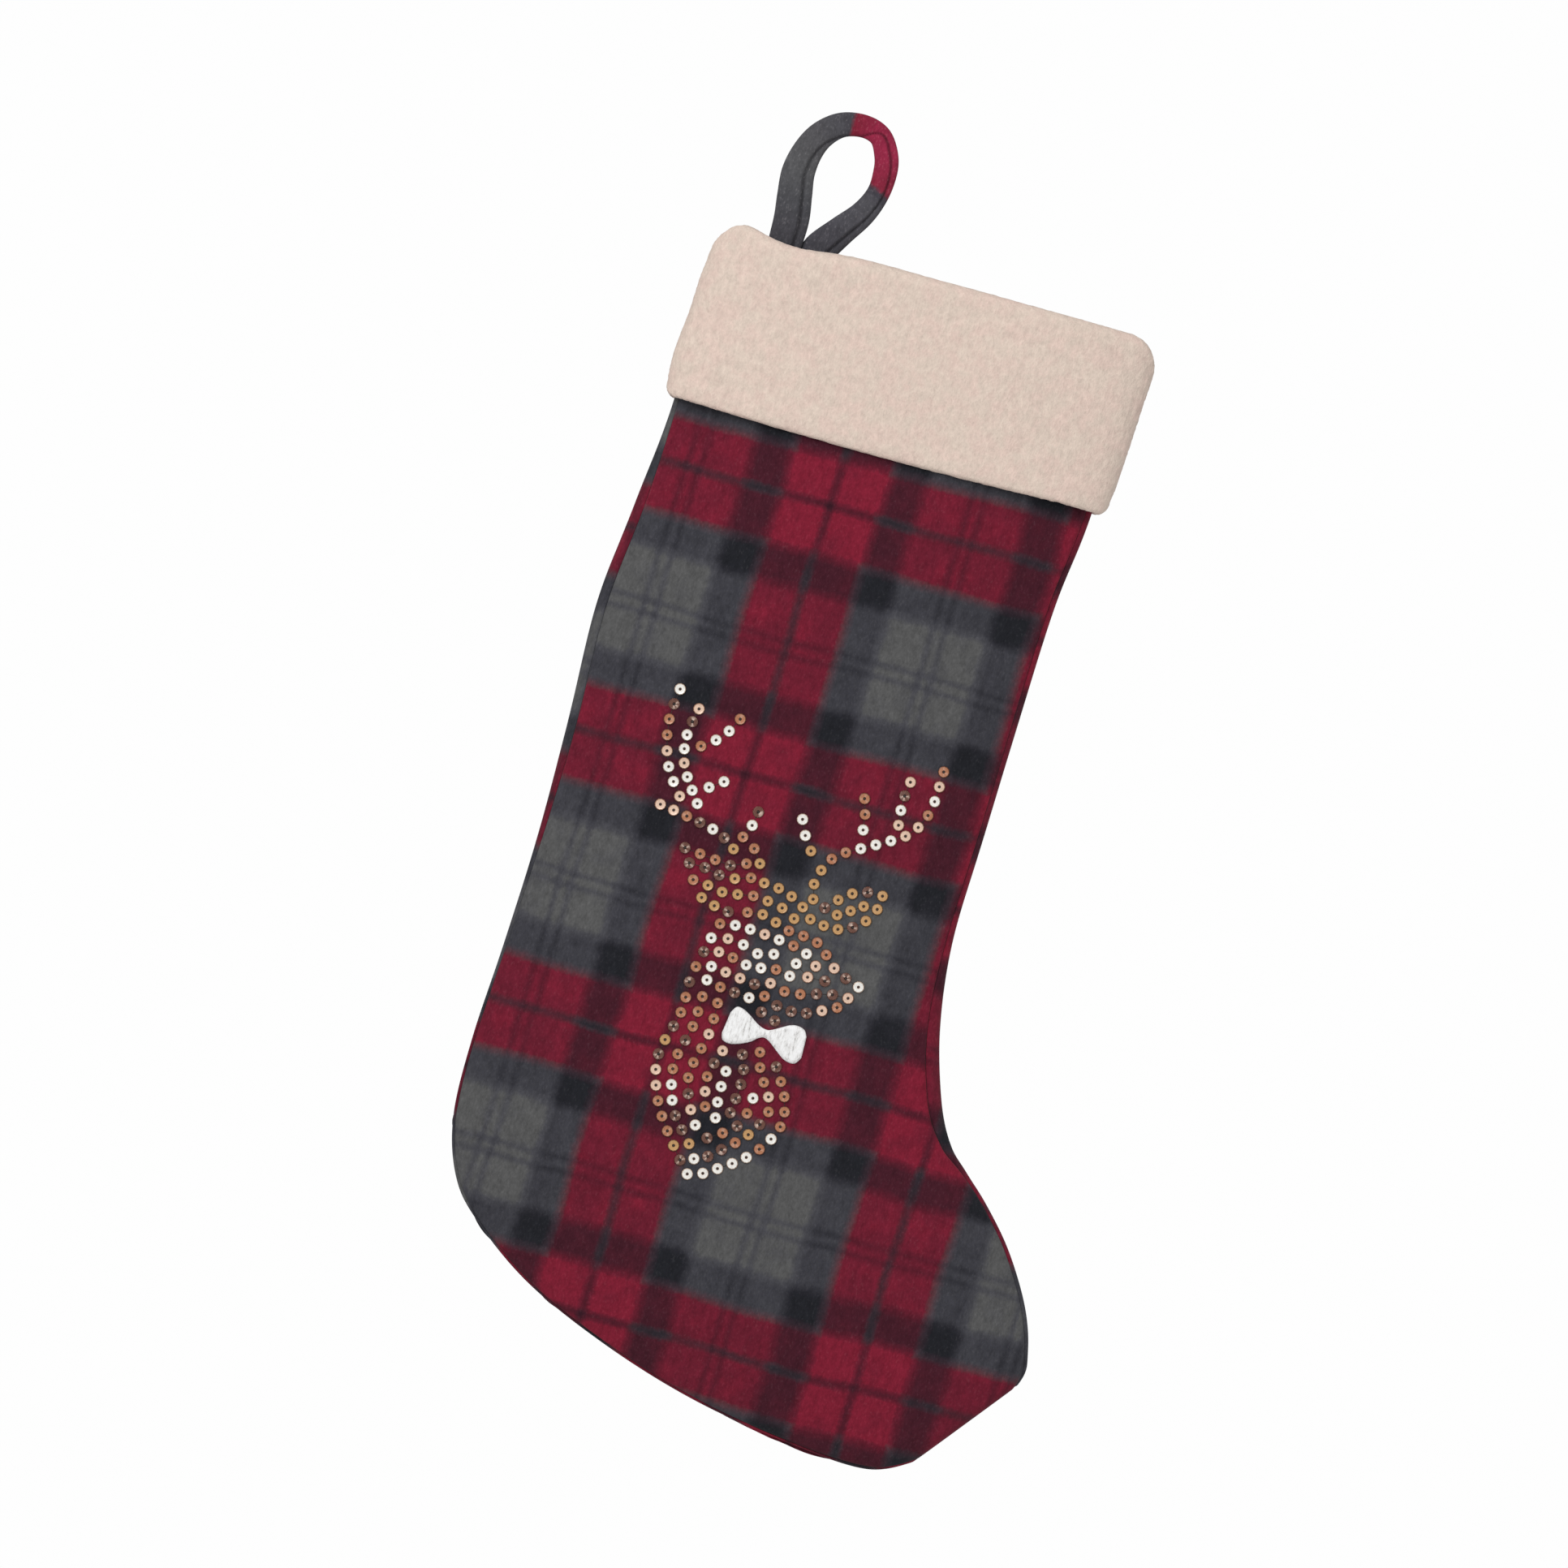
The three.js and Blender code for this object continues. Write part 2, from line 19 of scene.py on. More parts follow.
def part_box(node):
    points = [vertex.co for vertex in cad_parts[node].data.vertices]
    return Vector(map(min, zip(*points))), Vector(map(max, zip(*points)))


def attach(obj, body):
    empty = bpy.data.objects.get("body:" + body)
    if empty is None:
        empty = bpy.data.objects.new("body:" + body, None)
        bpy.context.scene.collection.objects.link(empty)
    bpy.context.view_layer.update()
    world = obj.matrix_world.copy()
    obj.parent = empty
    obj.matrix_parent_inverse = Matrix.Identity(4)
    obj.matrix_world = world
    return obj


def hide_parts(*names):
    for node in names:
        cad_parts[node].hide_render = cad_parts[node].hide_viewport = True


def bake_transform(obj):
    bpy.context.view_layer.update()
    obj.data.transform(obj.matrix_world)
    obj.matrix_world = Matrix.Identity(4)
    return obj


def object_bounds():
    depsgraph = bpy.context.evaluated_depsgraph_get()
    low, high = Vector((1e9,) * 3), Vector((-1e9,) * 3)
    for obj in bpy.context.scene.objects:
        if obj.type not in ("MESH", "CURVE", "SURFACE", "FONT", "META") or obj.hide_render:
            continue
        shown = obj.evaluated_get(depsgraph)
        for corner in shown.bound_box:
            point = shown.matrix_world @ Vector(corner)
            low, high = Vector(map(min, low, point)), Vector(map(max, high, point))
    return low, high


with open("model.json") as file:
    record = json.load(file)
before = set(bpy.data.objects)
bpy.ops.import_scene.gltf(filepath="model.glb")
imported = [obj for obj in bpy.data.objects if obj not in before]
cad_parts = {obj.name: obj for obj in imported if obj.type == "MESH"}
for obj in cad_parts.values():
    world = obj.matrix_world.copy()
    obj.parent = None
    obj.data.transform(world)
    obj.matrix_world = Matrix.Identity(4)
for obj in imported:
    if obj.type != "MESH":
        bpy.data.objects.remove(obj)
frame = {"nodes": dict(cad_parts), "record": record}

for leftover in ("Cube", "Light", "Camera"):  # a new Blender file has these
    if leftover in bpy.data.objects:
        bpy.data.objects.remove(bpy.data.objects[leftover])
cad_low, cad_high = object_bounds()
MM = 0.001
slot_of = {part["node"]: part["material_slot"] for part in frame["record"]["subparts"]}
print("frame:", len(frame["nodes"]), "nodes, box", [round(v, 4) for v in (*cad_low, *cad_high)])

# %% [markdown]
# ## Camera
# The stocking is seen straight from the front, through a long lens, and turned on the picture, so
# the camera is rolled about its own axis. Everything else stands upright.

# %% Camera
PICTURE_TILT = math.radians(15.5)
PICTURE_WIDTH = 0.6665  # at the stocking
LENS, SENSOR = 200, 36

picture_right = Vector((math.cos(PICTURE_TILT), 0, math.sin(PICTURE_TILT)))
picture_up = Vector((-math.sin(PICTURE_TILT), 0, math.cos(PICTURE_TILT)))
picture_centre = (cad_low + cad_high) / 2 + Vector((-0.0331, 0, -0.0064))
picture_centre.y = 0
camera = bpy.data.objects.new("camera", bpy.data.cameras.new("camera"))
bpy.context.scene.collection.objects.link(camera)
camera.data.lens, camera.data.sensor_width = LENS, SENSOR
camera.data.clip_end = 20
camera.location = picture_centre - Vector((0, PICTURE_WIDTH * LENS / SENSOR, 0))
towards_camera = picture_right.cross(picture_up)
camera.rotation_euler = Matrix((picture_right, picture_up, towards_camera)).transposed().to_euler()
bpy.context.scene.camera = camera
print("camera:", [round(v, 3) for v in camera.location], "picture centre", picture_centre)

# %% [markdown]
# ## Helpers for finishes
# A finish is a small tree of nodes. These helpers add a node with its values, and join sockets, so
# that a finish reads as a short list. Colours are written as codes such as 7f2234.


# %% Helpers for finishes
def linear(code, alpha=1.0):
    """A colour code as the linear colour that a node wants."""
    parts = [int(code[i : i + 2], 16) / 255 for i in (0, 2, 4)]
    return (*[p / 12.92 if p <= 0.04045 else ((p + 0.055) / 1.055) ** 2.4 for p in parts], alpha)


def add(tree, kind, feeds=None, **values):
    """Adds a node. values are its settings, and feeds gives its inputs a number, colour or socket."""
    node = tree.nodes.new("ShaderNode" + kind)
    for name, value in values.items():
        setattr(node, name, value)
    for socket, value in (feeds or {}).items():
        if isinstance(value, bpy.types.NodeSocket):
            tree.links.new(value, node.inputs[socket])
        else:
            node.inputs[socket].default_value = value
    return node


def reckon(tree, operation, a, b=0.0, c=0.0):
    """One step of arithmetic on numbers or sockets."""
    node = add(tree, "Math", {0: a, 1: b, 2: c}, operation=operation)
    return node.outputs[0]


def blend_colours(tree, share, first, second, way="MIX"):
    node = add(tree, "Mix", {0: share, 6: first, 7: second}, data_type="RGBA")
    node.blend_type = way
    return node.outputs[2]


def ramp(tree, value, stops):
    """A colour ramp with stops of (place, colour), where a colour is a code or four numbers."""
    node = add(tree, "ValToRGB", {0: value})
    while len(node.color_ramp.elements) < len(stops):
        node.color_ramp.elements.new(0.5)
    for element, (place, colour) in zip(node.color_ramp.elements, stops):
        element.position = place
        element.color = linear(colour) if isinstance(colour, str) else colour
    return node.outputs[0]


def object_place(tree):
    return add(tree, "TexCoord").outputs["Object"]


def clouds(tree, place, scale, detail, roughness=0.5):
    """The outputs of a noise."""
    feeds = {"Vector": place, "Scale": scale, "Detail": detail, "Roughness": roughness}
    return add(tree, "TexNoise", feeds).outputs


def ridges(tree, place, scale, distortion, way):
    """Even waves that run one way."""
    feeds = {"Vector": place, "Scale": scale, "Distortion": distortion}
    return add(tree, "TexWave", feeds, bands_direction=way).outputs["Fac"]


def new_group(name, sockets_in, sockets_out):
    tree = bpy.data.node_groups.new(name, "ShaderNodeTree")
    for title, kind, value in sockets_in:
        socket = tree.interface.new_socket(title, in_out="INPUT", socket_type=kind)
        socket.default_value = value
    for title, kind in sockets_out:
        tree.interface.new_socket(title, in_out="OUTPUT", socket_type=kind)
    return tree, tree.nodes.new("NodeGroupInput").outputs, tree.nodes.new("NodeGroupOutput").inputs


def place_group(tree, group, feeds):
    return add(tree, "Group", feeds, node_tree=group).outputs


def new_finish(name, constants):
    """A material with one Principled shader. constants are set on the shader's own sockets."""
    finish = bpy.data.materials.new(name)
    finish.use_nodes = True
    tree = finish.node_tree
    tree.nodes.clear()
    shader = add(tree, "BsdfPrincipled", constants)
    add(tree, "OutputMaterial", {"Surface": shader.outputs[0]})
    return finish, tree, shader


def dress(tree, shader, colour, height, strength, depth):
    """Gives the shader its colour, and a bump from a height."""
    bump = add(tree, "Bump", {"Height": height, "Strength": strength, "Distance": depth})
    tree.links.new(colour, shader.inputs["Base Color"])
    tree.links.new(bump.outputs[0], shader.inputs["Normal"])


print("finish helpers ready")

# %% [markdown]
# ## Light and stage
# A white room lights soft goods evenly. The world is white, two large soft lamps add a little
# direction, and a pale floor well below the toe sends light back up. The floor is not part of the
# stocking.

# %% Light and stage
scene = bpy.context.scene
scene.view_settings.view_transform = "Standard"
room = bpy.data.worlds.new("white_room")
scene.world = room
room.use_nodes = True
tree = room.node_tree
tree.nodes.clear()
room_seen = add(tree, "Background", {"Color": (0.99, 0.99, 0.99, 1)}).outputs[0]
room_lit = add(tree, "Background", {"Color": (1, 1, 1, 1), "Strength": 0.5}).outputs[0]
straight_seen = add(tree, "LightPath").outputs["Is Camera Ray"]
room_mix = add(tree, "MixShader", {0: straight_seen, 1: room_lit, 2: room_seen}).outputs[0]
add(tree, "OutputWorld", {"Surface": room_mix})

LEG_MIDDLE, FLOOR_HEIGHT = Vector((0.05, 0, -0.27)), -0.9


def soft_lamp(name, place, size, watts):
    """A square lamp, size metres wide, turned to the middle of the leg."""
    lamp = bpy.data.objects.new(name, bpy.data.lights.new(name, "AREA"))
    lamp.data.size, lamp.data.energy = size, watts
    lamp.location = place
    lamp.rotation_euler = (LEG_MIDDLE - Vector(place)).to_track_quat("-Z", "Y").to_euler()
    scene.collection.objects.link(lamp)


soft_lamp("key_lamp", (-1.1, -1.7, 0.9), 1.4, 27)
soft_lamp("fill_lamp", (1.5, -1.6, -0.2), 1.6, 7)

floor_form = bmesh.new()
bmesh.ops.create_grid(floor_form, x_segments=1, y_segments=1, size=0.5)
bmesh.ops.translate(floor_form, verts=floor_form.verts, vec=(0, 0, FLOOR_HEIGHT))
floor_mesh = bpy.data.meshes.new("floor")
floor_form.to_mesh(floor_mesh)
floor = bpy.data.objects.new("floor", floor_mesh)
scene.collection.objects.link(floor)
print("lamps and floor placed; floor at", FLOOR_HEIGHT)

# %% [markdown]
# ## The tartan
# Fleece is printed or woven in bands. Two sets of bands cross: columns of dark, red, dark and grey,
# and the same in rows. Where either band is red, the cloth is red, and it is darker the darker the
# other band is. Where neither is red, it is grey, charcoal or nearly black. Each set is one ramp that
# repeats, with red in its first channel, lightness in its second, and thin stripes in its third. Slow
# noise lets the bands wander a little, as they do on soft cloth.

# %% The tartan as a node group
COLUMN_PERIOD, ROW_PERIOD = 120.0, 119.3  # mm
COLUMN_LEAN = 0.0275  # mm of sideways drift per mm down the leg
EDGE = 2.8  # mm, half the blur of a band's edge
DARK, RED, GREY = (0, 0), (1, 1), (0, 0.8)  # redness, lightness


def band_stops(period, bands, stripes):
    """Ramp stops for bands of (start, end, tone) and stripes of (middle, half width)."""
    stops = []
    for start, end, tone in bands:
        stops.append((start + EDGE, (*tone, 0, 1)))
        for middle, half in stripes:
            if start < middle < end:
                for offset, share in ((-half - 1.5, 0), (-half * 0.2, 1), (half * 0.2, 1), (half + 1.5, 0)):
                    stops.append((middle + offset, (*tone, share, 1)))
        stops.append((end - EDGE, (*tone, 0, 1)))
    return [(place / period, tone) for place, tone in stops]


column_stops = band_stops(
    COLUMN_PERIOD,
    [(0, 8, DARK), (8, 52, RED), (52, 67, DARK), (67, 112, GREY), (112, 120, DARK)],
    [(30, 1.4), (87.4, 1.0), (92.9, 1.0)],
)
row_stops = band_stops(
    ROW_PERIOD,
    [(0, 33, RED), (33, 48, DARK), (48, 94, GREY), (94, 109.3, DARK), (109.3, 119.3, RED)],
    [(11, 1.4), (70.0, 1.0), (75.5, 1.0)],
)

tartan, tartan_in, tartan_out = new_group(
    "tartan",
    [("Columns Moved", "NodeSocketFloat", 0.0), ("Rows Moved", "NodeSocketFloat", 0.0)],
    [("Color", "NodeSocketColor")],
)
spot = object_place(tartan)
blotch = clouds(tartan, spot, 85.0, 3.0)["Fac"]
spot_parts, wander_parts, fray_parts = [
    add(tartan, "SeparateXYZ", {0: whole}).outputs
    for whole in (spot, clouds(tartan, spot, 16.0, 1.0)["Color"], clouds(tartan, spot, 620.0, 3.0)["Color"])
]


def wandering(straight, part):
    """A coordinate in mm with slow waves and a frayed edge added."""
    slow = reckon(tartan, "MULTIPLY_ADD", wander_parts[part], 5.0, -2.5)
    fast = reckon(tartan, "MULTIPLY_ADD", fray_parts[part], 2.4, -1.2)
    return reckon(tartan, "ADD", straight, reckon(tartan, "ADD", slow, fast))


across_mm = reckon(tartan, "MULTIPLY_ADD", spot_parts[0], 1000.0, -1.65)
lean_mm = reckon(tartan, "MULTIPLY", spot_parts[2], -1000.0 * COLUMN_LEAN)
across_mm = reckon(tartan, "SUBTRACT", reckon(tartan, "ADD", across_mm, lean_mm), tartan_in[0])
down_mm = reckon(tartan, "MULTIPLY_ADD", spot_parts[2], -1000.0, -144.0)
down_mm = reckon(tartan, "SUBTRACT", down_mm, tartan_in[1])
tones = []
for straight, part, period, stops in (
    (across_mm, 0, COLUMN_PERIOD, column_stops),
    (down_mm, 1, ROW_PERIOD, row_stops),
):
    turn = reckon(tartan, "FRACT", reckon(tartan, "DIVIDE", wandering(straight, part), period))
    band = ramp(tartan, turn, stops)
    tones.append(add(tartan, "SeparateColor", {0: band}).outputs)
patchy = reckon(tartan, "MULTIPLY_ADD", blotch, 2.2, -0.1)
reds, lights = [], []
for (redness_here, lightness_here, stripe), (_, across_it, _) in (tones, tones[::-1]):
    # a stripe is a few dark threads in its band, and shows most where it crosses a dark one
    strength = add(tartan, "Mix", {0: redness_here, 2: 0.4, 3: 0.66}).outputs[0]
    strength = reckon(tartan, "MULTIPLY", reckon(tartan, "MULTIPLY", strength, stripe), patchy)
    strength = reckon(tartan, "MINIMUM", strength, 0.85)
    lost_red = reckon(tartan, "MULTIPLY", strength, reckon(tartan, "SUBTRACT", 1.0, across_it))
    reds.append(reckon(tartan, "MULTIPLY", redness_here, reckon(tartan, "SUBTRACT", 1.0, lost_red)))
    kept = reckon(tartan, "SUBTRACT", 1.0, strength)
    lights.append(reckon(tartan, "MULTIPLY", lightness_here, kept))
redness = reckon(tartan, "MAXIMUM", reds[0], reds[1])
lightness = reckon(tartan, "MULTIPLY", reckon(tartan, "ADD", lights[0], lights[1]), 0.5)
blotches = reckon(tartan, "MULTIPLY_ADD", blotch, 0.34, -0.17)
lightness = reckon(tartan, "ADD", lightness, blotches)
REDS = [(0.25, "351722"), (0.5, "471c28"), (0.72, "5b1c2b"), (0.9, "6f1e30"), (1.0, "801f33")]
GREYS = [(0.0, "222328"), (0.12, "28282e"), (0.4, "3f3f45"), (0.62, "4a4a4f"), (0.8, "595959")]
red_cloth, grey_cloth = [ramp(tartan, lightness, tints) for tints in (REDS, GREYS)]
tartan.links.new(blend_colours(tartan, redness, grey_cloth, red_cloth), tartan_out["Color"])
print("tartan:", len(column_stops), "column stops,", len(row_stops), "row stops")

# %% [markdown]
# ## Brushed fleece
# Fleece has a nap: short fibres combed one way, in small clumps, with stray light fibres on top. The
# group takes any colour, gives back the same colour with that unevenness, and gives a height for the
# bump. The tartan, the cuff and the strap share it, each with its own amounts.

# %% Brushed fleece as a node group
fleece, fleece_in, fleece_out = new_group(
    "brushed_fleece",
    [
        ("Color", "NodeSocketColor", (0.5, 0.5, 0.5, 1)),
        ("Blush", "NodeSocketColor", (0.5, 0.5, 0.5, 1)),
        ("Blush Amount", "NodeSocketFloat", 0.0),
        ("Unevenness", "NodeSocketFloat", 0.2),
        ("Lint", "NodeSocketFloat", 0.1),
        ("Grain", "NodeSocketFloat", 420.0),
    ],
    [("Color", "NodeSocketColor"), ("Height", "NodeSocketFloat")],
)
spot = object_place(fleece)
combed = add(fleece, "Mapping", {"Vector": spot, "Scale": (1.0, 1.0, 0.55)}).outputs[0]
clumps = clouds(fleece, combed, fleece_in["Grain"], 3.0, 0.62)["Fac"]
fibres = clouds(fleece, combed, reckon(fleece, "MULTIPLY", fleece_in["Grain"], 3.1), 2.0)["Fac"]
patches = clouds(fleece, spot, 120.0, 4.0, 0.65)["Fac"]
height = reckon(fleece, "MULTIPLY_ADD", fibres, 0.4, reckon(fleece, "MULTIPLY", clumps, 0.6))
fleece.links.new(height, fleece_out["Height"])
blush_share = reckon(
    fleece, "MULTIPLY", ramp(fleece, patches, [(0.42, (0, 0, 0, 1)), (0.62, (1, 1, 1, 1))]),
    fleece_in["Blush Amount"],
)
dyed = blend_colours(fleece, blush_share, fleece_in["Color"], fleece_in["Blush"])
shade = reckon(fleece, "SUBTRACT", height, 0.5)
shade = reckon(fleece, "MULTIPLY", shade, reckon(fleece, "MULTIPLY", fleece_in["Unevenness"], 4.0))
shade = reckon(fleece, "ADD", shade, 1.0)
shade_colour = add(fleece, "CombineColor", {0: shade, 1: shade, 2: shade}).outputs[0]
napped = blend_colours(fleece, 1.0, dyed, shade_colour, "MULTIPLY")
lint_share = ramp(fleece, fibres, [(0.6, (0, 0, 0, 1)), (0.72, (1, 1, 1, 1))])
lint_share = reckon(fleece, "MULTIPLY", lint_share, fleece_in["Lint"])
fleece.links.new(
    blend_colours(fleece, lint_share, napped, linear("b9b2b4")), fleece_out["Color"]
)


def brush(tree, shader, amounts, strength, depth):
    """Dresses a shader in fleece. amounts goes to the group's own sockets."""
    nap = place_group(tree, fleece, amounts)
    dress(tree, shader, nap["Color"], nap["Height"], strength, depth)


print("fleece group ready")

# %% [markdown]
# ## Fleece finishes
# The two panels are cut from different places of the same cloth, so their bands don't meet at the
# seam. The cuff is plain cream fleece with faint pink patches. Cloth scatters light at its edges,
# and that is the shader's sheen.

# %% Fleece finishes
CLOTH = {"Roughness": 0.95, "Sheen Weight": 0.07, "Sheen Roughness": 0.5, "Specular IOR Level": 0.08}


def tartan_finish(name, columns_moved, rows_moved):
    finish, tree, shader = new_finish(name, CLOTH)
    bands = place_group(tree, tartan, {"Columns Moved": columns_moved, "Rows Moved": rows_moved})
    amounts = {"Color": bands["Color"], "Unevenness": 0.34, "Lint": 0.025}
    brush(tree, shader, amounts, 0.45, 0.0006)
    return finish


front_tartan = tartan_finish("front_tartan", 0.0, 0.0)
back_tartan = tartan_finish("back_tartan", 100.0, 31.0)

cuff_fleece, tree, shader = new_finish("cuff_fleece", {**CLOTH, "Sheen Weight": 0.12})
amounts = {"Color": linear("e0cec0"), "Blush": linear("e4c8bd"), "Blush Amount": 0.55,
           "Unevenness": 0.19, "Lint": 0.0, "Grain": 460.0}
brush(tree, shader, amounts, 0.6, 0.001)
print("fleece finishes:", front_tartan.name, back_tartan.name, cuff_fleece.name)

# %% [markdown]
# ## Thin cloths
# The lining and the stabiliser are thin, and little of them shows. The lining is woven: threads over
# and under, as two sets of waves. The stabiliser is pressed fibre, with no threads.

# %% Thin cloths
lining_weave, tree, shader = new_finish("lining_weave", {"Roughness": 0.8, "Sheen Weight": 0.1})
spot = object_place(tree)
warp, weft = [ridges(tree, spot, 480.0, 0.6, way) for way in "XZ"]
threads = reckon(tree, "MULTIPLY", warp, weft)
lining_colour = ramp(tree, threads, [(0.0, "26252a"), (1.0, "46444b")])
dress(tree, shader, lining_colour, threads, 0.4, 0.0002)

pressed_sheet, tree, shader = new_finish("pressed_sheet", {"Roughness": 0.9})
spot = object_place(tree)
felted = clouds(tree, spot, 600.0, 4.0)["Fac"]
felted_colour = ramp(tree, felted, [(0.3, "d4d1cb"), (0.7, "f0eeea")])
dress(tree, shader, felted_colour, felted, 0.3, 0.0002)
print("thin cloths ready")

# %% [markdown]
# ## The leg's outline
# Two seams run from the mouth to the toe. Each row of the list gives one point on the heel side and
# its partner on the toe side, in millimetres from the hook point, and how far the sewn line lies in
# front of the edge there. The front panel is cut a little narrow, so the back panel wraps round the
# edge and shows beside the sewn line, most of all at the calf and at the instep.

# %% The leg's outline
#   heel side: across, height, sewn line | toe side: across, height, sewn line
OUTLINE = [
    ((-48, -55.8, 2), (138.5, -55.8, 2.5)),
    ((-48.2, -129, 2), (136.2, -129, 2.5)),
    ((-52.8, -176, 4.6), (131.8, -171, 2.5)),
    ((-57.2, -221, 4.8), (130.1, -221, 2.4)),
    ((-55.4, -276, 4.2), (128.8, -276, 2.4)),
    ((-54.6, -323, 2.2), (127.9, -319, 2.8)),
    ((-56.1, -371, 1.2), (132.5, -355, 5.5)),
    ((-58.3, -413, 1.2), (141.8, -386, 6.5)),
    ((-57.2, -447, 1.2), (150.3, -402.6, 4.5)),
    ((-49.2, -471.6, 1.2), (159.4, -411.6, 2)),
    ((-35.4, -487.4, 1.2), (171, -422.3, 1.4)),
    ((-7.2, -507.2, 1.2), (184.5, -437.4, 1.4)),
    ((32, -523.9, 1.2), (195.8, -454.6, 1.4)),
    ((73, -536, 1.4), (202.3, -468.3, 1.4)),
    ((115, -542.8, 1.6), (205.8, -481, 1.4)),
    ((152, -544.9, 1.6), (206.4, -487.5, 1.4)),
    ((172, -535.9, 1.6), (204.5, -494, 1.4)),
]
SIDE_ROUNDNESS = 3.0
TOE_FROM, TOE_ROUNDNESS = 0.72, 2.5
MOUTH_CORNER = 12.0  # mm, so that the mouth's corners stay below the cuff's round ones


def smooth_route(points, share):
    """A place on the smooth curve through the points, as share runs from 0 to 1."""
    place = min(max(share, 0.0), 1.0) * (len(points) - 1)
    i = min(int(place), len(points) - 2)
    t = place - i
    near = [points[min(max(i + k, 0), len(points) - 1)] for k in (-1, 0, 1, 2)]
    return Vector([
        0.5 * (2 * b + (c - a) * t + (2 * a - 5 * b + 4 * c - d) * t**2
               + (3 * b - a - 3 * c + d) * t**3)
        for a, b, c, d in zip(*near)
    ])


def side_round(across):
    """Share of the full depth, as across runs from -1 at the heel side to 1 at the toe side."""
    return max(0.0, 1 - abs(across) ** SIDE_ROUNDNESS) ** (1 / SIDE_ROUNDNESS)


def toe_round(along):
    into_toe = max(0.0, (along - TOE_FROM) / (1 - TOE_FROM))
    return max(0.0, 1 - into_toe**TOE_ROUNDNESS) ** (1 / TOE_ROUNDNESS)


heel_side = [row[0] for row in OUTLINE]
toe_side = [row[1] for row in OUTLINE]
print("outline:", len(OUTLINE), "pairs, sole at", min(p[1] for p in heel_side), "mm")

# %% [markdown]
# ## Leg shell
# Both panels start as flat grids. Each grid point is moved onto the closed stocking: along the leg by
# its row, and round the leg by its column. The angle runs from the toe-side edge over the front to the
# heel-side edge and on over the back. The two grids are welded at the sewn lines into one bag.


# %% Leg shell
def cloth_grid(columns, rows):
    """A flat grid of cloth: x runs from 0 to 1 across it, and y from 0 to 1 along it."""
    form = bmesh.new()
    bmesh.ops.create_grid(form, x_segments=columns, y_segments=rows, size=0.5)
    bmesh.ops.translate(form, verts=form.verts, vec=(0.5, 0.5, 0))
    return form


def crowd(share):
    """Closer columns at both ends, where cloth turns into a seam."""
    return 0.3 * share + 0.7 * (0.5 - 0.5 * math.cos(math.pi * share))


def leg_place(along, angle, depth):
    """A point of the leg in metres."""
    heel, toe = smooth_route(heel_side, along), smooth_route(toe_side, along)
    across = math.cos(angle)
    x = heel.x + (toe.x - heel.x) * (across + 1) / 2
    z = heel.y + (toe.y - heel.y) * (across + 1) / 2
    inside = (toe.x - heel.x) / 2 * (1 - abs(across))
    z -= share_between(z, -75, -60) * corner_drop(inside, MOUTH_CORNER)
    front = 1 if math.sin(angle) >= 0 else -1
    y = -front * depth * side_round(across) * toe_round(along)
    return Vector((x, y, z)) * MM


def share_between(value, start, end):
    """How far value is on its way from start to end, from 0 to 1."""
    return min(max((value - start) / (end - start), 0), 1)


def hump(value, height, middle, width):
    """A smooth hump or dip."""
    return height * math.exp(-(((value - middle) / width) ** 2))


def corner_drop(inside, radius):
    """How far a round corner lies below its straight edge, that far inside its side."""
    short = max(0.0, radius - inside)
    return radius - math.sqrt(radius**2 - short**2)


def sewn_angles(along):
    """The angles of the sewn lines on the toe side and on the heel side."""
    heel, toe = smooth_route(heel_side, along), smooth_route(toe_side, along)
    half_width = (Vector(toe[:2]) - Vector(heel[:2])).length / 2
    return math.acos(1 - toe.z / half_width), math.pi - math.acos(1 - heel.z / half_width)


FRONT_COLUMNS, BACK_COLUMNS, LEG_ROWS = 46, 64, 132
START_DEPTH = 11.2  # mm, before the bag is filled with air

shell_form = bmesh.new()
is_back = shell_form.faces.layers.int.new("is_back")
for back, columns in ((0, FRONT_COLUMNS), (1, BACK_COLUMNS)):
    grid = cloth_grid(columns, LEG_ROWS)
    for point in grid.verts:
        along = point.co.y
        toe_angle, heel_angle = sewn_angles(along)
        start, end = (heel_angle, 2 * math.pi + toe_angle) if back else (toe_angle, heel_angle)
        angle = start + (end - start) * crowd(point.co.x)
        point.co = leg_place(along, angle, START_DEPTH)
    flat = bpy.data.meshes.new("flat")
    grid.to_mesh(flat)
    faces_before = len(shell_form.faces)
    shell_form.from_mesh(flat)
    shell_form.faces.ensure_lookup_table()
    for face in shell_form.faces[faces_before:]:
        face[is_back] = back
    grid.free()
bmesh.ops.remove_doubles(shell_form, verts=shell_form.verts, dist=1e-6)
bmesh.ops.recalc_face_normals(shell_form, faces=shell_form.faces)
print("leg shell:", len(shell_form.verts), "points,", len(shell_form.faces), "faces")

# %% [markdown]
# ## Air in the bag
# Sewn fleece never lies quite flat: it bulges between its seams and puckers a little beside them. A
# cloth simulation gives that. The mouth, the toe's end and the sewn lines are held, and light
# pressure pushes the cloth out. No point may move more than a few millimetres, and beside a sewn line
# it moves only forwards or backwards, so that the leg keeps its size and its smooth outline.


# %% Air in the bag
def new_piece(name, form, finish):
    """Turns a bmesh into a smooth object with a finish."""
    mesh = bpy.data.meshes.new(name)
    form.to_mesh(mesh)
    form.free()
    for face in mesh.polygons:
        face.use_smooth = True
    piece = bpy.data.objects.new(name, mesh)
    scene.collection.objects.link(piece)
    for one in finish if isinstance(finish, (list, tuple)) else [finish]:
        piece.data.materials.append(one)
    return piece


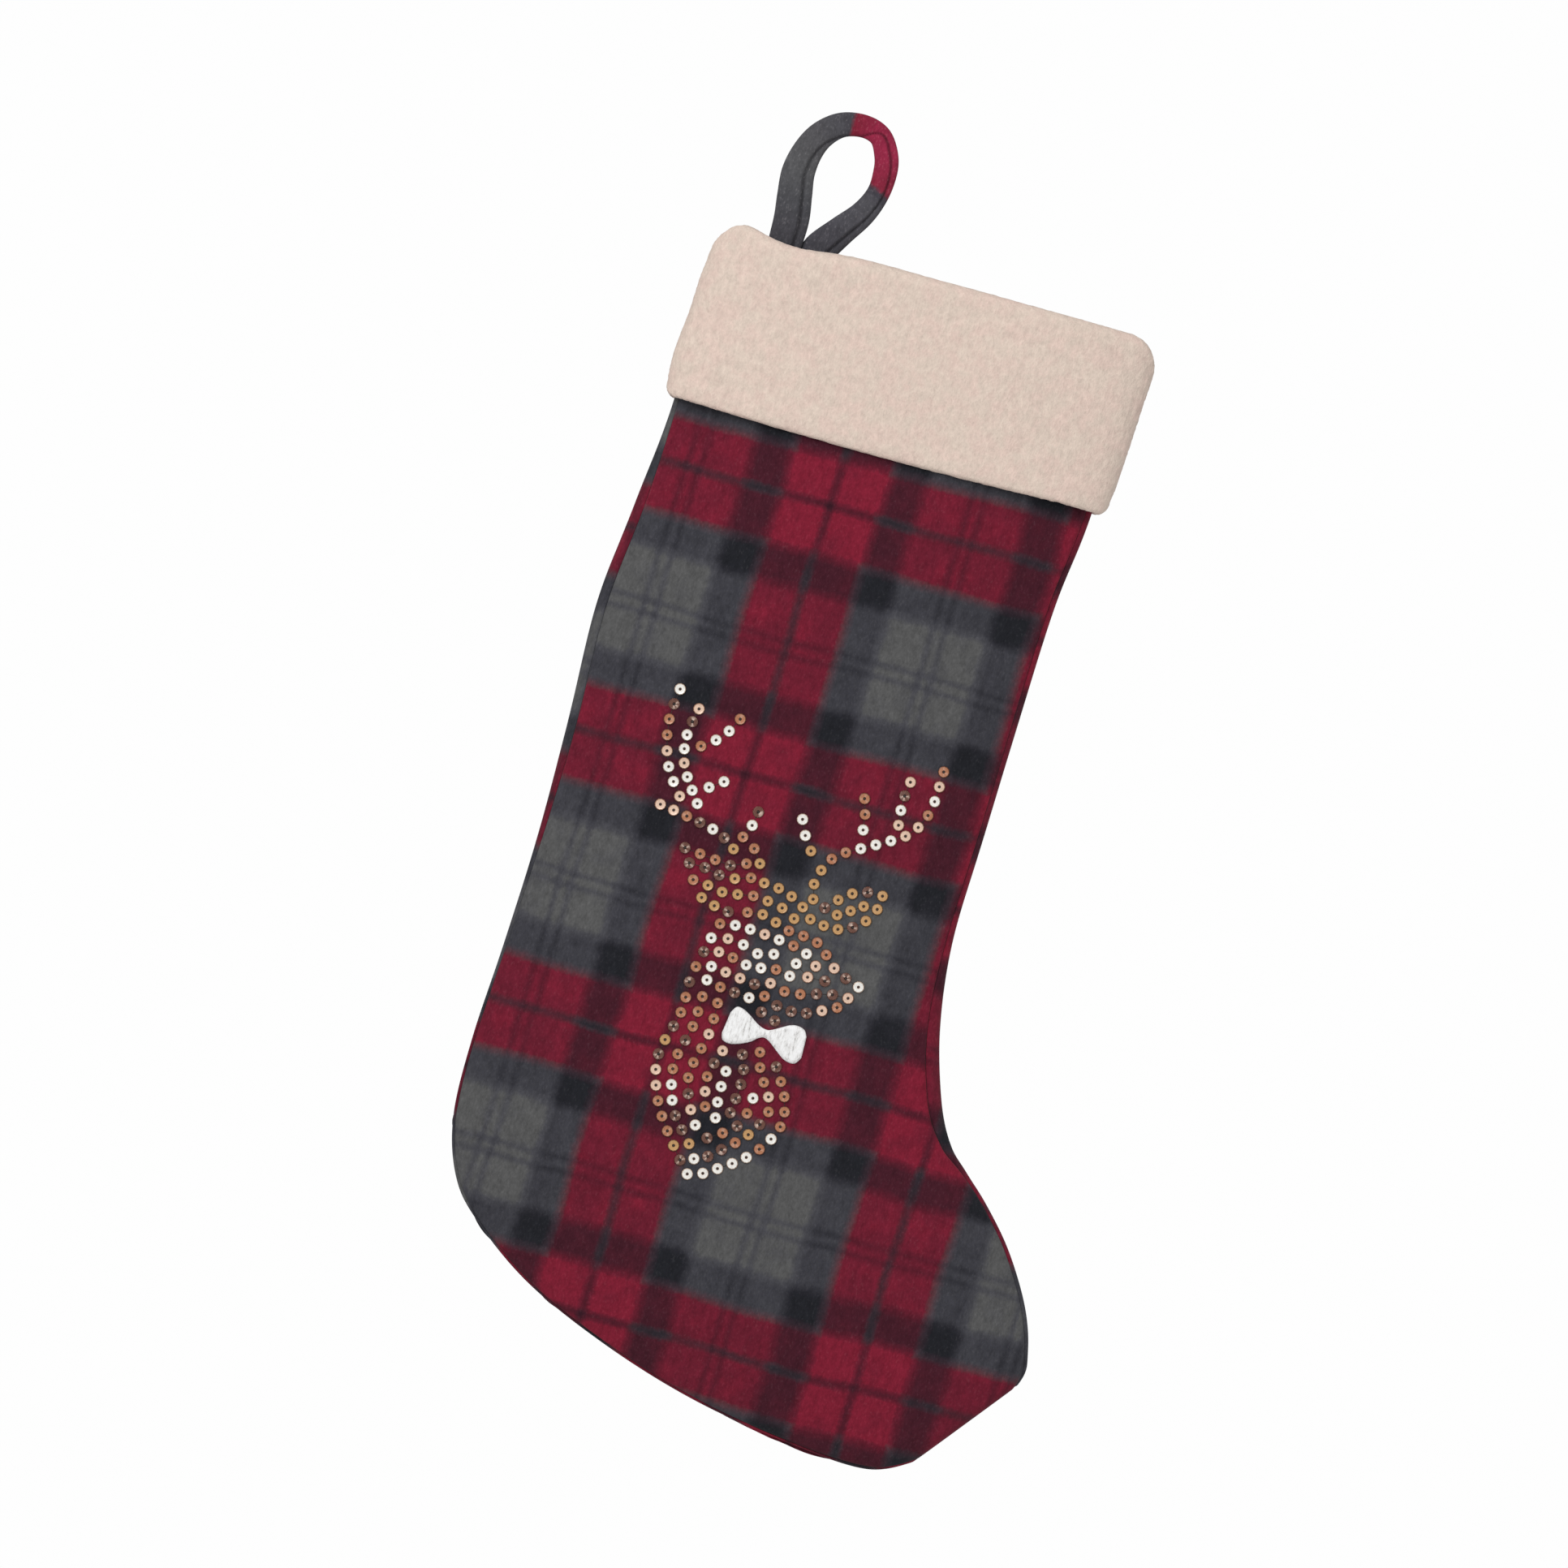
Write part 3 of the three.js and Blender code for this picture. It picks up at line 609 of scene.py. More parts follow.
held_points = [
    v.index for v in shell_form.verts
    if v.is_boundary or len({face[is_back] for face in v.link_faces}) > 1
]
shell = new_piece("leg_shell", shell_form, front_tartan)
FRAMES, MOST_MOVE, SEAM_REACH = 18, 3.2 * MM, 14 * MM
MOUTH_ROW_LOWEST = -68 * MM  # the mouth's own row of points is above this
start_places = [v.co.copy() for v in shell.data.vertices]
sewn_line = [start_places[i] for i in held_points if start_places[i].z < MOUTH_ROW_LOWEST]
sewn_near = KDTree(len(sewn_line))
for i, place in enumerate(sewn_line):
    sewn_near.insert(place, i)
sewn_near.balance()
held = shell.vertex_groups.new(name="held")
held.add(held_points, 1.0, "REPLACE")
air = shell.modifiers.new("air", "CLOTH")
air.settings.quality = 6
air.settings.mass = 0.15
air.settings.tension_stiffness = air.settings.compression_stiffness = 18
air.settings.bending_stiffness = 0.4
air.settings.effector_weights.gravity = 0
air.settings.use_pressure = True
air.settings.uniform_pressure_force = 2.2
air.settings.shrink_min = -0.002
air.settings.vertex_group_mass = "held"
air.collision_settings.use_collision = False
air.point_cache.frame_start, air.point_cache.frame_end = 1, FRAMES
for step in range(1, FRAMES + 1):
    scene.frame_set(step)
settled = shell.evaluated_get(bpy.context.evaluated_depsgraph_get()).data
moves = [after.co - begun for begun, after in zip(start_places, settled.vertices)]
moves = [move * min(1.0, MOST_MOVE / max(move.length, 1e-9)) for move in moves]
beside = [[] for _ in moves]
for edge in shell.data.edges:
    one, other = edge.vertices
    beside[one].append(other)
    beside[other].append(one)
for _ in range(3):  # evens the moves out
    moves = [(move + sum((moves[i] for i in near), Vector()) / len(near)) / 2
             for move, near in zip(moves, beside)]
held_now = set(held_points)
for v, begun, move in zip(shell.data.vertices, start_places, moves):
    if v.index in held_now:
        continue
    from_seam = sewn_near.find(begun)[2] / SEAM_REACH
    calm = min(1.0, from_seam) ** 2
    v.co = begun + Vector((move.x * calm, move.y, move.z * calm))
shell.modifiers.clear()
scene.frame_set(1)
moved = [(v.co - begun).length / MM for v, begun in zip(shell.data.vertices, start_places)]
print("air: held", len(held_points), "most move", round(max(moved), 2), "mm, mean",
      round(sum(moved) / len(moved), 2), "deepest", round(min(v.co.y for v in shell.data.vertices), 4))

# %% [markdown]
# ## Panels
# Each panel is its own piece of cloth, taken from the bag. Beside a seam the cloth turns inwards,
# which makes the groove of a sewn line. Subdivision rounds it, and Solidify gives it a thickness.


# %% Panels
TUCK_DEPTH, TUCK_WIDTH = 0.7 * MM, 1.8 * MM
PANEL_THICKNESS = 1.8 * MM
HALF_GAP = 0.15 * MM  # from the middle of a seam to each panel
LINING_INSET, LINING_THICKNESS = 3.0 * MM, 0.8 * MM
STABILISER_INSET, STABILISER_THICKNESS = 2.2 * MM, 0.4 * MM


def cloth_layer(back, inset, tuck):
    """The faces of one side of the bag, moved inwards, with its edges tucked in."""
    form = bmesh.new()
    form.from_mesh(shell.data)
    side = form.faces.layers.int["is_back"]
    form.normal_update()
    for v in form.verts:
        inwards = v.normal * -inset
        if tuck:
            near = sewn_near.find(v.co)[2] / TUCK_WIDTH
            if near < 1:
                inwards += v.normal * -TUCK_DEPTH * (1 - near) ** 2
        v.co += inwards
    bmesh.ops.delete(form, geom=[f for f in form.faces if f[side] != back], context="FACES")
    gap = HALF_GAP * (1 if back else -1)
    for v in form.verts:
        if inset and v.co.y * gap < 0:  # an inner layer stays on its own side of the middle
            v.co.y = 0
        v.co.y += gap
    return form


def thicken(piece, thickness, offset=-1):
    wall = piece.modifiers.new("thickness", "SOLIDIFY")
    wall.thickness, wall.offset = thickness, offset


def round_off(piece):
    rounded = piece.modifiers.new("rounded", "SUBSURF")
    rounded.levels = rounded.render_levels = 1


def cloth_piece(name, node, form, finish, thickness, rounded=False):
    """A piece of cloth or embroidery on the leg, in the place of its CAD node."""
    piece = new_piece(name, form, finish)
    if rounded:
        round_off(piece)
    thicken(piece, thickness)
    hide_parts(node)
    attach(piece, "stocking")
    print(name, len(piece.data.polygons), "faces")
    return piece


front_panel, back_panel = [
    cloth_piece(f"{side}_leg_panel", f"{side}_panel", cloth_layer(back, 0, True),
                [front_tartan, back_tartan][back], PANEL_THICKNESS, True)
    for back, side in enumerate(("front", "back"))
]
front_lining, back_lining = [
    cloth_piece(f"{side}_leg_lining", f"{side}_lining", cloth_layer(back, LINING_INSET, False),
                lining_weave, LINING_THICKNESS)
    for back, side in enumerate(("front", "back"))
]

sheet_low, sheet_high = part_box("motif_stabiliser")
sheet_form = cloth_layer(0, STABILISER_INSET, False)
outside = [f for f in sheet_form.faces
           if not (sheet_low.x < f.calc_center_median().x < sheet_high.x
                   and sheet_low.z < f.calc_center_median().z < sheet_high.z)]
bmesh.ops.delete(sheet_form, geom=outside, context="FACES")
stabiliser = cloth_piece(
    "sequin_stabiliser", "motif_stabiliser", sheet_form, pressed_sheet, STABILISER_THICKNESS
)
bpy.data.objects.remove(shell)

# %% [markdown]
# ## Cuff
# The cuff is fleece folded double, so it is modelled as one sheet in the shape of its real route. It
# starts on the leg's top edge, runs over it and down against the leg, turns round at the hem, comes up
# on the outside and goes over the top into the mouth. The turn at the hem and the double fold at the
# top give the soft thick edges.

# %% Cuff
#   height, heel-side edge, toe-side edge, in mm from the hook point
CUFF_EDGES = [
    (-129.5, -52.6, 142), (-113, -53.4, 143.3), (-91, -51.7, 144.3),
    (-70, -51, 145.1), (-50, -49.8, 145.6),
]
CUFF_DEPTH = 17.3  # mm, half of the cuff's thickness front to back
CUFF_CLOTH = 1.7  # mm
OUTER, INNER = CUFF_CLOTH / 2, 3.1  # mm inside the cuff's face
FOLD_HEIGHT, HEM_HEIGHT = -55.6, -127.6
TOP_CORNER, HEM_CORNER = 9.0, 2.8  # mm
TOP_RISE, TOP_DIP = (1.5, -38, 8), (-2.7, -15, 17)  # mm: height, where across, half width
HEM_ROLL = (0.5, -124, 5)  # mm: how thick, at what height, half width
FUZZ = 0.7 * MM


def half_turn(middle, radius, height, steps, way=1):
    """Points (inset, height) of a half circle over the top, or under the hem when way is -1."""
    angles = [math.pi * i / steps for i in range(steps + 1)]
    return [(middle - way * radius * math.cos(a), height + way * radius * math.sin(a)) for a in angles]


def straight(inset, start, end, steps):
    return [(inset, start + (end - start) * i / steps) for i in range(1, steps)]


fold_middle = OUTER + 4.6
cuff_route = (
    half_turn(fold_middle, fold_middle - INNER, FOLD_HEIGHT, 6)[::-1]
    + straight(INNER, FOLD_HEIGHT, HEM_HEIGHT, 18)
    + half_turn((INNER + OUTER) / 2, (INNER - OUTER) / 2, HEM_HEIGHT, 6, -1)
    + straight(OUTER, HEM_HEIGHT, FOLD_HEIGHT, 32)
    + half_turn(fold_middle, 4.6, FOLD_HEIGHT, 10)
    + [(OUTER + 9.2, FOLD_HEIGHT - 3.5), (OUTER + 9.3, FOLD_HEIGHT - 7)]
)


def cuff_place(inset, height, angle, front):
    share = (height - CUFF_EDGES[0][0]) / (CUFF_EDGES[-1][0] - CUFF_EDGES[0][0])
    _, left, right = smooth_route(CUFF_EDGES, share)
    across = math.cos(angle)
    half = (right - left) / 2
    x = (left + right) / 2 + across * (half - inset)
    inside = half * (1 - abs(across))
    near_top, near_hem = share_between(height, -76, -62), share_between(height, -116, -125)
    z = height - near_top * corner_drop(inside, TOP_CORNER)
    z += near_top * (hump(x, *TOP_RISE) + hump(x, *TOP_DIP))
    z += near_hem * (corner_drop(inside, HEM_CORNER) + 1.5 * min(1.2, ((x - 35) / 78) ** 2))
    puff = 0.55 * noise.noise(Vector((x / 24, 7 * front, height / 26)))
    puff += 0.25 * noise.noise(Vector((x / 9, 3 * front, height / 9)))
    depth = CUFF_DEPTH - inset + (hump(height, *HEM_ROLL) + puff) * (1 - inset / 12)
    y = -front * (0.2 + depth * side_round(across))
    return Vector((x, y, z)) * MM


fuzz_clouds = bpy.data.textures.new("fuzz_clouds", "CLOUDS")
fuzz_clouds.noise_scale = 1.5 * MM
for side, front in (("front", 1), ("back", -1)):
    form = cloth_grid(86, len(cuff_route) - 1)
    for point in form.verts:
        inset, height = cuff_route[round(point.co.y * (len(cuff_route) - 1))]
        point.co = cuff_place(inset, height, math.pi * crowd(point.co.x), front)
    bmesh.ops.recalc_face_normals(form, faces=form.faces)
    piece = new_piece(f"cuff_{side}_half", form, cuff_fleece)
    thicken(piece, CUFF_CLOTH * MM, 0)
    round_off(piece)
    fuzz = piece.modifiers.new("fuzz", "DISPLACE")
    fuzz.texture, fuzz.strength, fuzz.mid_level = fuzz_clouds, FUZZ, 0.5
    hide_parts(f"cuff_{side}")
    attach(piece, "stocking")
    print(piece.name, len(piece.data.polygons), "faces before rounding")

# %% [markdown]
# ## Hanging strap
# The strap is a strip of the tartan, folded into a flat tube and sewn along one edge. It leaves the
# mouth, turns over the hook and comes back beside itself, and its tails are tacked down inside. It is
# a tube that follows a route, wider or narrower where the cloth lies flatter or is pulled. The sewn
# line is a groove that wanders from the inner edge to the outer one, and painted shade darkens the
# colour along the groove. The strap's colour follows the place along it, which is kept as an
# attribute, because the strap bends when the leg swings. The groove's painted shade is kept as an
# attribute too.

# %% Hanging strap
#   across, height, in front of the middle, width, sewn line as a share of the half width, in mm
STRAP_ROUTE = [
    (-20.3, -85, -3.6, 12.5, 0.5), (-20.3, -70, -2.6, 12.5, 0.5), (-20.3, -58, -0.3, 13.5, 0.5),
    (-20.3, -51, 0.5, 14.6, 0.5), (-20.4, -41, 0.5, 15.2, 0.46), (-21.8, -31, 0.3, 14.9, 0.44),
    (-22.9, -21, 0, 14.2, 0.42), (-21.2, -11, 0, 12.9, 0.5), (-17.2, -3, 0, 11.8, 0.72),
    (-10.2, 3, 0, 10.6, 0.95), (-1, 4.9, 0, 9.8, 0.98), (6.6, 2.6, 0, 9.6, -0.2),
    (11, -4, 0, 10.2, -0.3), (12.7, -11, 0, 10.3, -0.42), (12.2, -21, 0, 9.8, -0.5),
    (8.2, -31, 0, 11, -0.5), (0.9, -41, -0.5, 12.8, -0.5), (-5.8, -51, -1.2, 14.6, -0.5),
    (-6.6, -58, -1.3, 13.4, -0.5), (-6.2, -70, -2.6, 12.5, -0.5), (-6.2, -85, -3.6, 12.5, -0.5),
]
STRAP_HALF_THICKNESS, STRAP_CLOTH = 2.3, 1.0 * MM
RED_FROM, RED_TO = 9.45, 13.9  # places along the route
AROUND, STRAP_ROWS = 84, 170

strap_form = cloth_grid(AROUND, STRAP_ROWS)
strap_place = strap_form.verts.layers.float.new("strap_place")
# how much painted shade darkens each point of the groove
crease = strap_form.verts.layers.float.new("crease")
for point in strap_form.verts:
    share, turn = point.co.y, 2 * math.pi * point.co.x
    x, z, ahead, width, groove_at = smooth_route(STRAP_ROUTE, share)
    before, after = smooth_route(STRAP_ROUTE, share - 0.008), smooth_route(STRAP_ROUTE, share + 0.008)
    along = Vector((after[0] - before[0], 0, after[1] - before[1])).normalized()
    inwards = Vector((along.z, 0, -along.x))
    side, out = math.cos(turn), math.sin(turn)
    flat_side = math.copysign(abs(side) ** 0.8, side)
    flat_out = math.copysign(abs(out) ** 0.7, out)
    groove = hump(flat_side, 1.0 if out > 0 else 0.4, groove_at, 0.1)
    thickness = STRAP_HALF_THICKNESS * (1 - 0.5 * groove * min(1, abs(out) * 1.5))
    thickness *= 1 + 0.06 * noise.noise(Vector((share * 40, side, out)))
    point.co = Vector((x, -ahead, z)) + inwards * flat_side * width / 2
    point.co.y -= flat_out * thickness
    point.co *= MM
    point[strap_place] = share * (len(STRAP_ROUTE) - 1) + 0.12 * side
    point[crease] = groove
bmesh.ops.remove_doubles(strap_form, verts=strap_form.verts, dist=1e-6)
bmesh.ops.recalc_face_normals(strap_form, faces=strap_form.faces)

strap_finish, tree, shader = new_finish("strap_fleece_finish", CLOTH)
place_along = add(tree, "Attribute", attribute_name="strap_place").outputs["Fac"]
last = len(STRAP_ROUTE) - 1
spot = object_place(tree)
ragged = reckon(tree, "MULTIPLY_ADD", clouds(tree, spot, 500.0, 2.0)["Fac"], 0.3, -0.15)
place_along = reckon(tree, "DIVIDE", reckon(tree, "ADD", place_along, ragged), float(last))
strap_colours = [
    (0.0, "47464c"), (3.4, "48474c"), (4.6, "4c4c50"), (6.2, "58585a"), (7.6, "555457"),
    (8.9, "4c4b50"), (RED_FROM - 0.06, "47454b"), (RED_FROM + 0.06, "7e2436"), (10.6, "902843"),
    (12.2, "962b47"), (RED_TO - 0.1, "86283d"), (RED_TO + 0.1, "45424a"), (14.6, "525156"),
    (16.2, "4c4b51"), (20.0, "47464c"),
]
strap_colour = ramp(tree, place_along, [(at / last, code) for at, code in strap_colours])
# painted shade: the colour is darkened towards 1c1a1e along the sewn groove, where shade falls in the
# crease
painted_groove_shade = add(tree, "Attribute", attribute_name="crease").outputs["Fac"]
strap_colour = blend_colours(
    tree, reckon(tree, "MULTIPLY", painted_groove_shade, 0.55), strap_colour, linear("1c1a1e")
)
brush(tree, shader, {"Color": strap_colour, "Unevenness": 0.34, "Lint": 0.12}, 0.45, 0.0006)

strap = new_piece("hanging_strap", strap_form, strap_finish)
thicken(strap, STRAP_CLOTH)
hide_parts("hanging_loop", "loop_left_tail", "loop_right_tail")
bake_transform(strap)

# %% [markdown]
# ## Bar tacks
# A bar tack is a short row of stitches that lie side by side and hold a tail to the lining. Each
# stitch is a small smooth capsule, and a tack is a row of them.

# %% Bar tacks
def spun_thread(name, dark, light):
    finish, tree, shader = new_finish(name, {"Roughness": 0.6, "Sheen Weight": 0.2})
    spot = object_place(tree)
    twist = ridges(tree, spot, 900.0, 1.0, "DIAGONAL")
    twist_colour = ramp(tree, twist, [(0.0, dark), (1.0, light)])
    dress(tree, shader, twist_colour, twist, 0.3, 0.0001)
    return finish


grey_thread = spun_thread("grey_thread", "39383d", "65636a")
dark_thread = spun_thread("dark_thread", "140d0b", "35231d")
for side in ("left", "right"):
    low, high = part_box(f"{side}_bar_tack")
    stitches = 14
    form = bmesh.new()
    for i in range(stitches):
        made = bmesh.ops.create_uvsphere(form, u_segments=8, v_segments=6, radius=0.5)["verts"]
        width = (high.x - low.x) / stitches
        lean = Matrix.Rotation(0.16 * (-1) ** i, 4, "Y")
        size = Matrix.Diagonal((width * 1.15, high.y - low.y, high.z - low.z, 1))
        middle = Vector((low.x + (i + 0.5) * width, (low.y + high.y) / 2, (low.z + high.z) / 2))
        bmesh.ops.transform(form, matrix=Matrix.Translation(middle) @ lean @ size, verts=made)
    tack = new_piece(f"{side}_tail_bar_tack", form, grey_thread)
    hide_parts(f"{side}_bar_tack")
    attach(tack, "stocking")
    print(tack.name, stitches, "stitches")

# %% [markdown]
# ## Sequins
# A sequin is a thin dished disc of metallised film with a hole, 5 mm across. Hundreds are sewn on, so
# the disc is a small profile spun round in twelve steps. The CAD strands say where each one goes:
# a strand is wide at each sequin and narrow between two, so the narrow points are dropped and what
# remains is one island for each sequin.

# %% One sequin
#   from the middle, above the cloth, in mm: hole, ring, face, rim, and back underneath
SEQUIN_SECTION = [(0.5, 0.3), (0.85, 0.26), (2.2, 0.34), (2.5, 0.46), (1.4, 0.08)]
SEQUIN_STEPS = 12

sequin_form = bmesh.new()
section = [sequin_form.verts.new((out, 0, up)) for out, up in SEQUIN_SECTION]
section_edges = [sequin_form.edges.new((a, b)) for a, b in zip(section, section[1:] + section[:1])]
bmesh.ops.spin(
    sequin_form, geom=section + section_edges, cent=(0, 0, 0), axis=(0, 0, 1),
    angle=2 * math.pi, steps=SEQUIN_STEPS, use_merge=True,
)
bmesh.ops.remove_doubles(sequin_form, verts=sequin_form.verts, dist=1e-4)
bmesh.ops.recalc_face_normals(sequin_form, faces=sequin_form.faces)
bmesh.ops.scale(sequin_form, verts=sequin_form.verts, vec=(MM, MM, MM))
sequin_mesh = bpy.data.meshes.new("one_sequin")
sequin_form.to_mesh(sequin_mesh)
print("one sequin:", len(sequin_form.verts), "points,", len(sequin_form.faces), "faces")
sequin_form.free()

# %% [markdown]
# ## Foil
# The same film looks white where it faces a lamp, champagne, gold or copper as it turns away, and
# smoky where light passes through it. Each sequin lies at its own angle, so neighbours differ. That
# light is painted into a colour on each face of the film: painted reflection and painted shade on
# its face and rim, a darker colour round the hole, and a paler painted glint on a few faces of a
# smoky or copper one. The shader adds the metal gloss.

# %% Foil finishes
def foil_finish(name, roughness):
    finish, tree, shader = new_finish(
        name, {"Metallic": 0.08, "Roughness": roughness, "Coat Weight": 0.2, "Coat Roughness": 0.15}
    )
    # the film colour is painted reflection, painted shade and painted glints; noise scuffs darken it a
    # little
    film = add(tree, "Attribute", attribute_name="film")
    spot = object_place(tree)
    scuff = clouds(tree, spot, 1500.0, 2.0)["Fac"]
    scuffs = ramp(tree, scuff, [(0.3, (0.8, 0.8, 0.8, 1)), (0.6, (1, 1, 1, 1))])
    scuffed_painted_light = blend_colours(tree, 1.0, film.outputs["Color"], scuffs, "MULTIPLY")
    dress(tree, shader, scuffed_painted_light, scuff, 0.12, 0.0001)
    tree.links.new(film.outputs["Alpha"], shader.inputs["Alpha"])
    return finish


foils = {tone: foil_finish(f"{tone}_foil", roughness)
         for tone, roughness in (("copper", 0.32), ("champagne", 0.26), ("gold", 0.3))}
# painted reflection and painted shade of the film for each letter, and how solid it is
FILM_AND_PAINTED_LIGHT = {  # letter: face in painted reflection and shade, round the hole, rim in painted reflection and shade, how solid
    "W": ("fffcf5", "a8744f", "e0bfa4", 1.0),
    "H": ("efccb4", "6e4230", "b78063", 1.0),
    "G": ("cfa069", "4c311c", "8c6238", 1.0),
    "C": ("bb7b57", "492718", "804a32", 1.0),
    "S": ("84594a", "2f1d1a", "93604f", 0.6),
}
# the paler colour of a painted glint, a painted highlight
PAINTED_GLINT = "f6dccb"
print("foils:", sorted(foils), "films:", "".join(FILM_AND_PAINTED_LIGHT))

# %% [markdown]
# ## Strands
# Each strand of sequins is one piece. Its sequins lie on the panel's own surface, found by looking
# back along the strand's depth, and tilt a few degrees at random. A thread runs from hole to hole.

# %% Strands
chance = random.Random(24)
graph = bpy.context.evaluated_depsgraph_get()
panel_tree = BVHTree.FromObject(front_panel, graph)
DRAWN_IN, SEWN_DRIFT = 0.005, (0.4 * MM, 0.5 * MM)  # a share towards the middle, and right and up
TILT = 0.07  # radians or so, at most
THREAD_RADIUS, THREAD_BEHIND = 0.13 * MM, 0.2 * MM
KNOT_RADII, KNOT_DEPTH, KNOT_AHEAD = (0.6 * MM, 0.5 * MM), 0.2 * MM, 0.25


def on_panel(x, z):
    """Where the front panel's face is, and which way it faces. The decoration was sewn on flat
    cloth, which drew in a little when the leg was filled out."""
    x += SEWN_DRIFT[0] - DRAWN_IN * (x - picture_centre.x)
    z += SEWN_DRIFT[1] - DRAWN_IN * (z - picture_centre.z)
    place, facing, _, _ = panel_tree.ray_cast(Vector((x, -0.1, z)), Vector((0, 1, 0)))
    return place, facing


def sequin_places(node):
    """The middle of each sequin of a strand, in sewing order from its upper or left end."""
    form = bmesh.new()
    form.from_mesh(frame["nodes"][node].data)
    bmesh.ops.remove_doubles(form, verts=form.verts, dist=1e-6)
    necks = {v for v in form.verts
             if sum((v.co - w.co).length < 0.9 * MM for w in form.verts) == 2}
    island_of, middles = {}, []
    for first in form.verts:
        if first in necks or first in island_of:
            continue
        island, todo = [], [first]
        while todo:
            one = todo.pop()
            if one in necks or one in island_of:
                continue
            island_of[one] = len(middles)
            island.append(one.co.copy())
            todo += [edge.other_vert(one) for edge in one.link_edges]
        middles.append(sum(island, Vector()) / len(island))
    joined = {i: set() for i in range(len(middles))}
    for neck in necks:
        beside = {island_of[w] for w in (edge.other_vert(neck) for edge in neck.link_edges)
                  if w not in necks}
        for i in beside:
            joined[i] |= beside - {i}
    form.free()
    ends = [i for i in joined if len(joined[i]) < 2]
    order = [max(ends, key=lambda i: middles[i].z - 0.3 * middles[i].x)]
    while len(order) < len(middles):
        order.append(next(i for i in joined[order[-1]] if i not in order))
    return [middles[i] for i in order]


def add_peg(form, middle, turn, low_radius, high_radius, depth):
    """Adds a five-sided peg and gives back its points."""
    made = bmesh.ops.create_cone(
        form, cap_ends=True, segments=5, radius1=low_radius, radius2=high_radius, depth=depth
    )["verts"]
    bmesh.ops.transform(form, matrix=Matrix.Translation(middle) @ turn, verts=made)
    return made


def sew_strand(node, painted_tones):
    """Joins a strand's sequins and threads into one piece."""
    foil = slot_of[node].replace("sequin_", "")
    form = bmesh.new()
    film = form.verts.layers.float_color.new("film")
    holes, turns, thread = [], [], []
    places = sequin_places(node)
    for i, middle in enumerate(places):
        place, facing = on_panel(middle.x, middle.z)
        facing = (facing + Vector((chance.uniform(-1, 1), 0, chance.uniform(-1, 1))) * TILT).normalized()
        turn = facing.to_track_quat("Z", "Y").to_matrix().to_4x4()
        spin = Matrix.Rotation(chance.uniform(0, 6.28), 4, "Z")
        already = len(form.verts)
        form.from_mesh(sequin_mesh)
        form.verts.ensure_lookup_table()
        made = form.verts[already:]
        letter = painted_tones[min(i, len(painted_tones) - 1)]
        # the face and rim colours are painted reflection and painted shade for this sequin's letter; round
        # the hole it is darker
        painted_face_tone, hole_code, painted_rim_tone, solid = FILM_AND_PAINTED_LIGHT[letter]
        painted_glints = chance.sample(range(SEQUIN_STEPS), 3)
        for v in made:
            out = math.hypot(v.co.x, v.co.y) / MM
            sector = round(math.atan2(v.co.y, v.co.x) / (2 * math.pi) * SEQUIN_STEPS) % SEQUIN_STEPS
            code = hole_code if out < 0.7 else painted_rim_tone if out > 2.4 else painted_face_tone
            colour = list(linear(code, solid))
            # painted glint: three sectors of a smoky or copper sequin are painted paler, as a highlight
            if letter in "SC" and sector in painted_glints and 0.7 < out < 2.4:
                strength = (0.9 if out < 1 else 0.4) * (1 if letter == "S" else 0.3)
                colour = [a + (b - a) * strength for a, b in zip(colour, linear(PAINTED_GLINT))]
            v[film] = colour
        bmesh.ops.transform(form, matrix=Matrix.Translation(place) @ turn @ spin, verts=made)
        holes.append(place + facing * KNOT_AHEAD * MM)
        turns.append(turn @ spin)
    for start, end in zip(holes, holes[1:]):
        reach = end - start
        turn = reach.to_track_quat("Z", "Y").to_matrix().to_4x4()
        middle = (start + end) / 2 + Vector((0, THREAD_BEHIND, 0))
        thread += add_peg(form, middle, turn, THREAD_RADIUS, THREAD_RADIUS, reach.length)
    for hole, turn in zip(holes, turns):
        thread += add_peg(form, hole, turn, *KNOT_RADII, KNOT_DEPTH)
    for v in thread:
        for face in v.link_faces:
            face.material_index = 1
    strand = new_piece(node.replace("_sequins", "_sequin_strand"), form, [foils[foil], dark_thread])
    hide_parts(node)
    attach(strand, "stocking")
    return len(places)


# %% [markdown]
# ## Which painted tone each strand shows
# The antlers and the face catch the light, the ears and the crown are gold, and the chest mixes
# copper, smoky and white ones; each tone is painted reflection and painted shade on the film. A
# strand has one letter for each sequin, from its upper or left end.

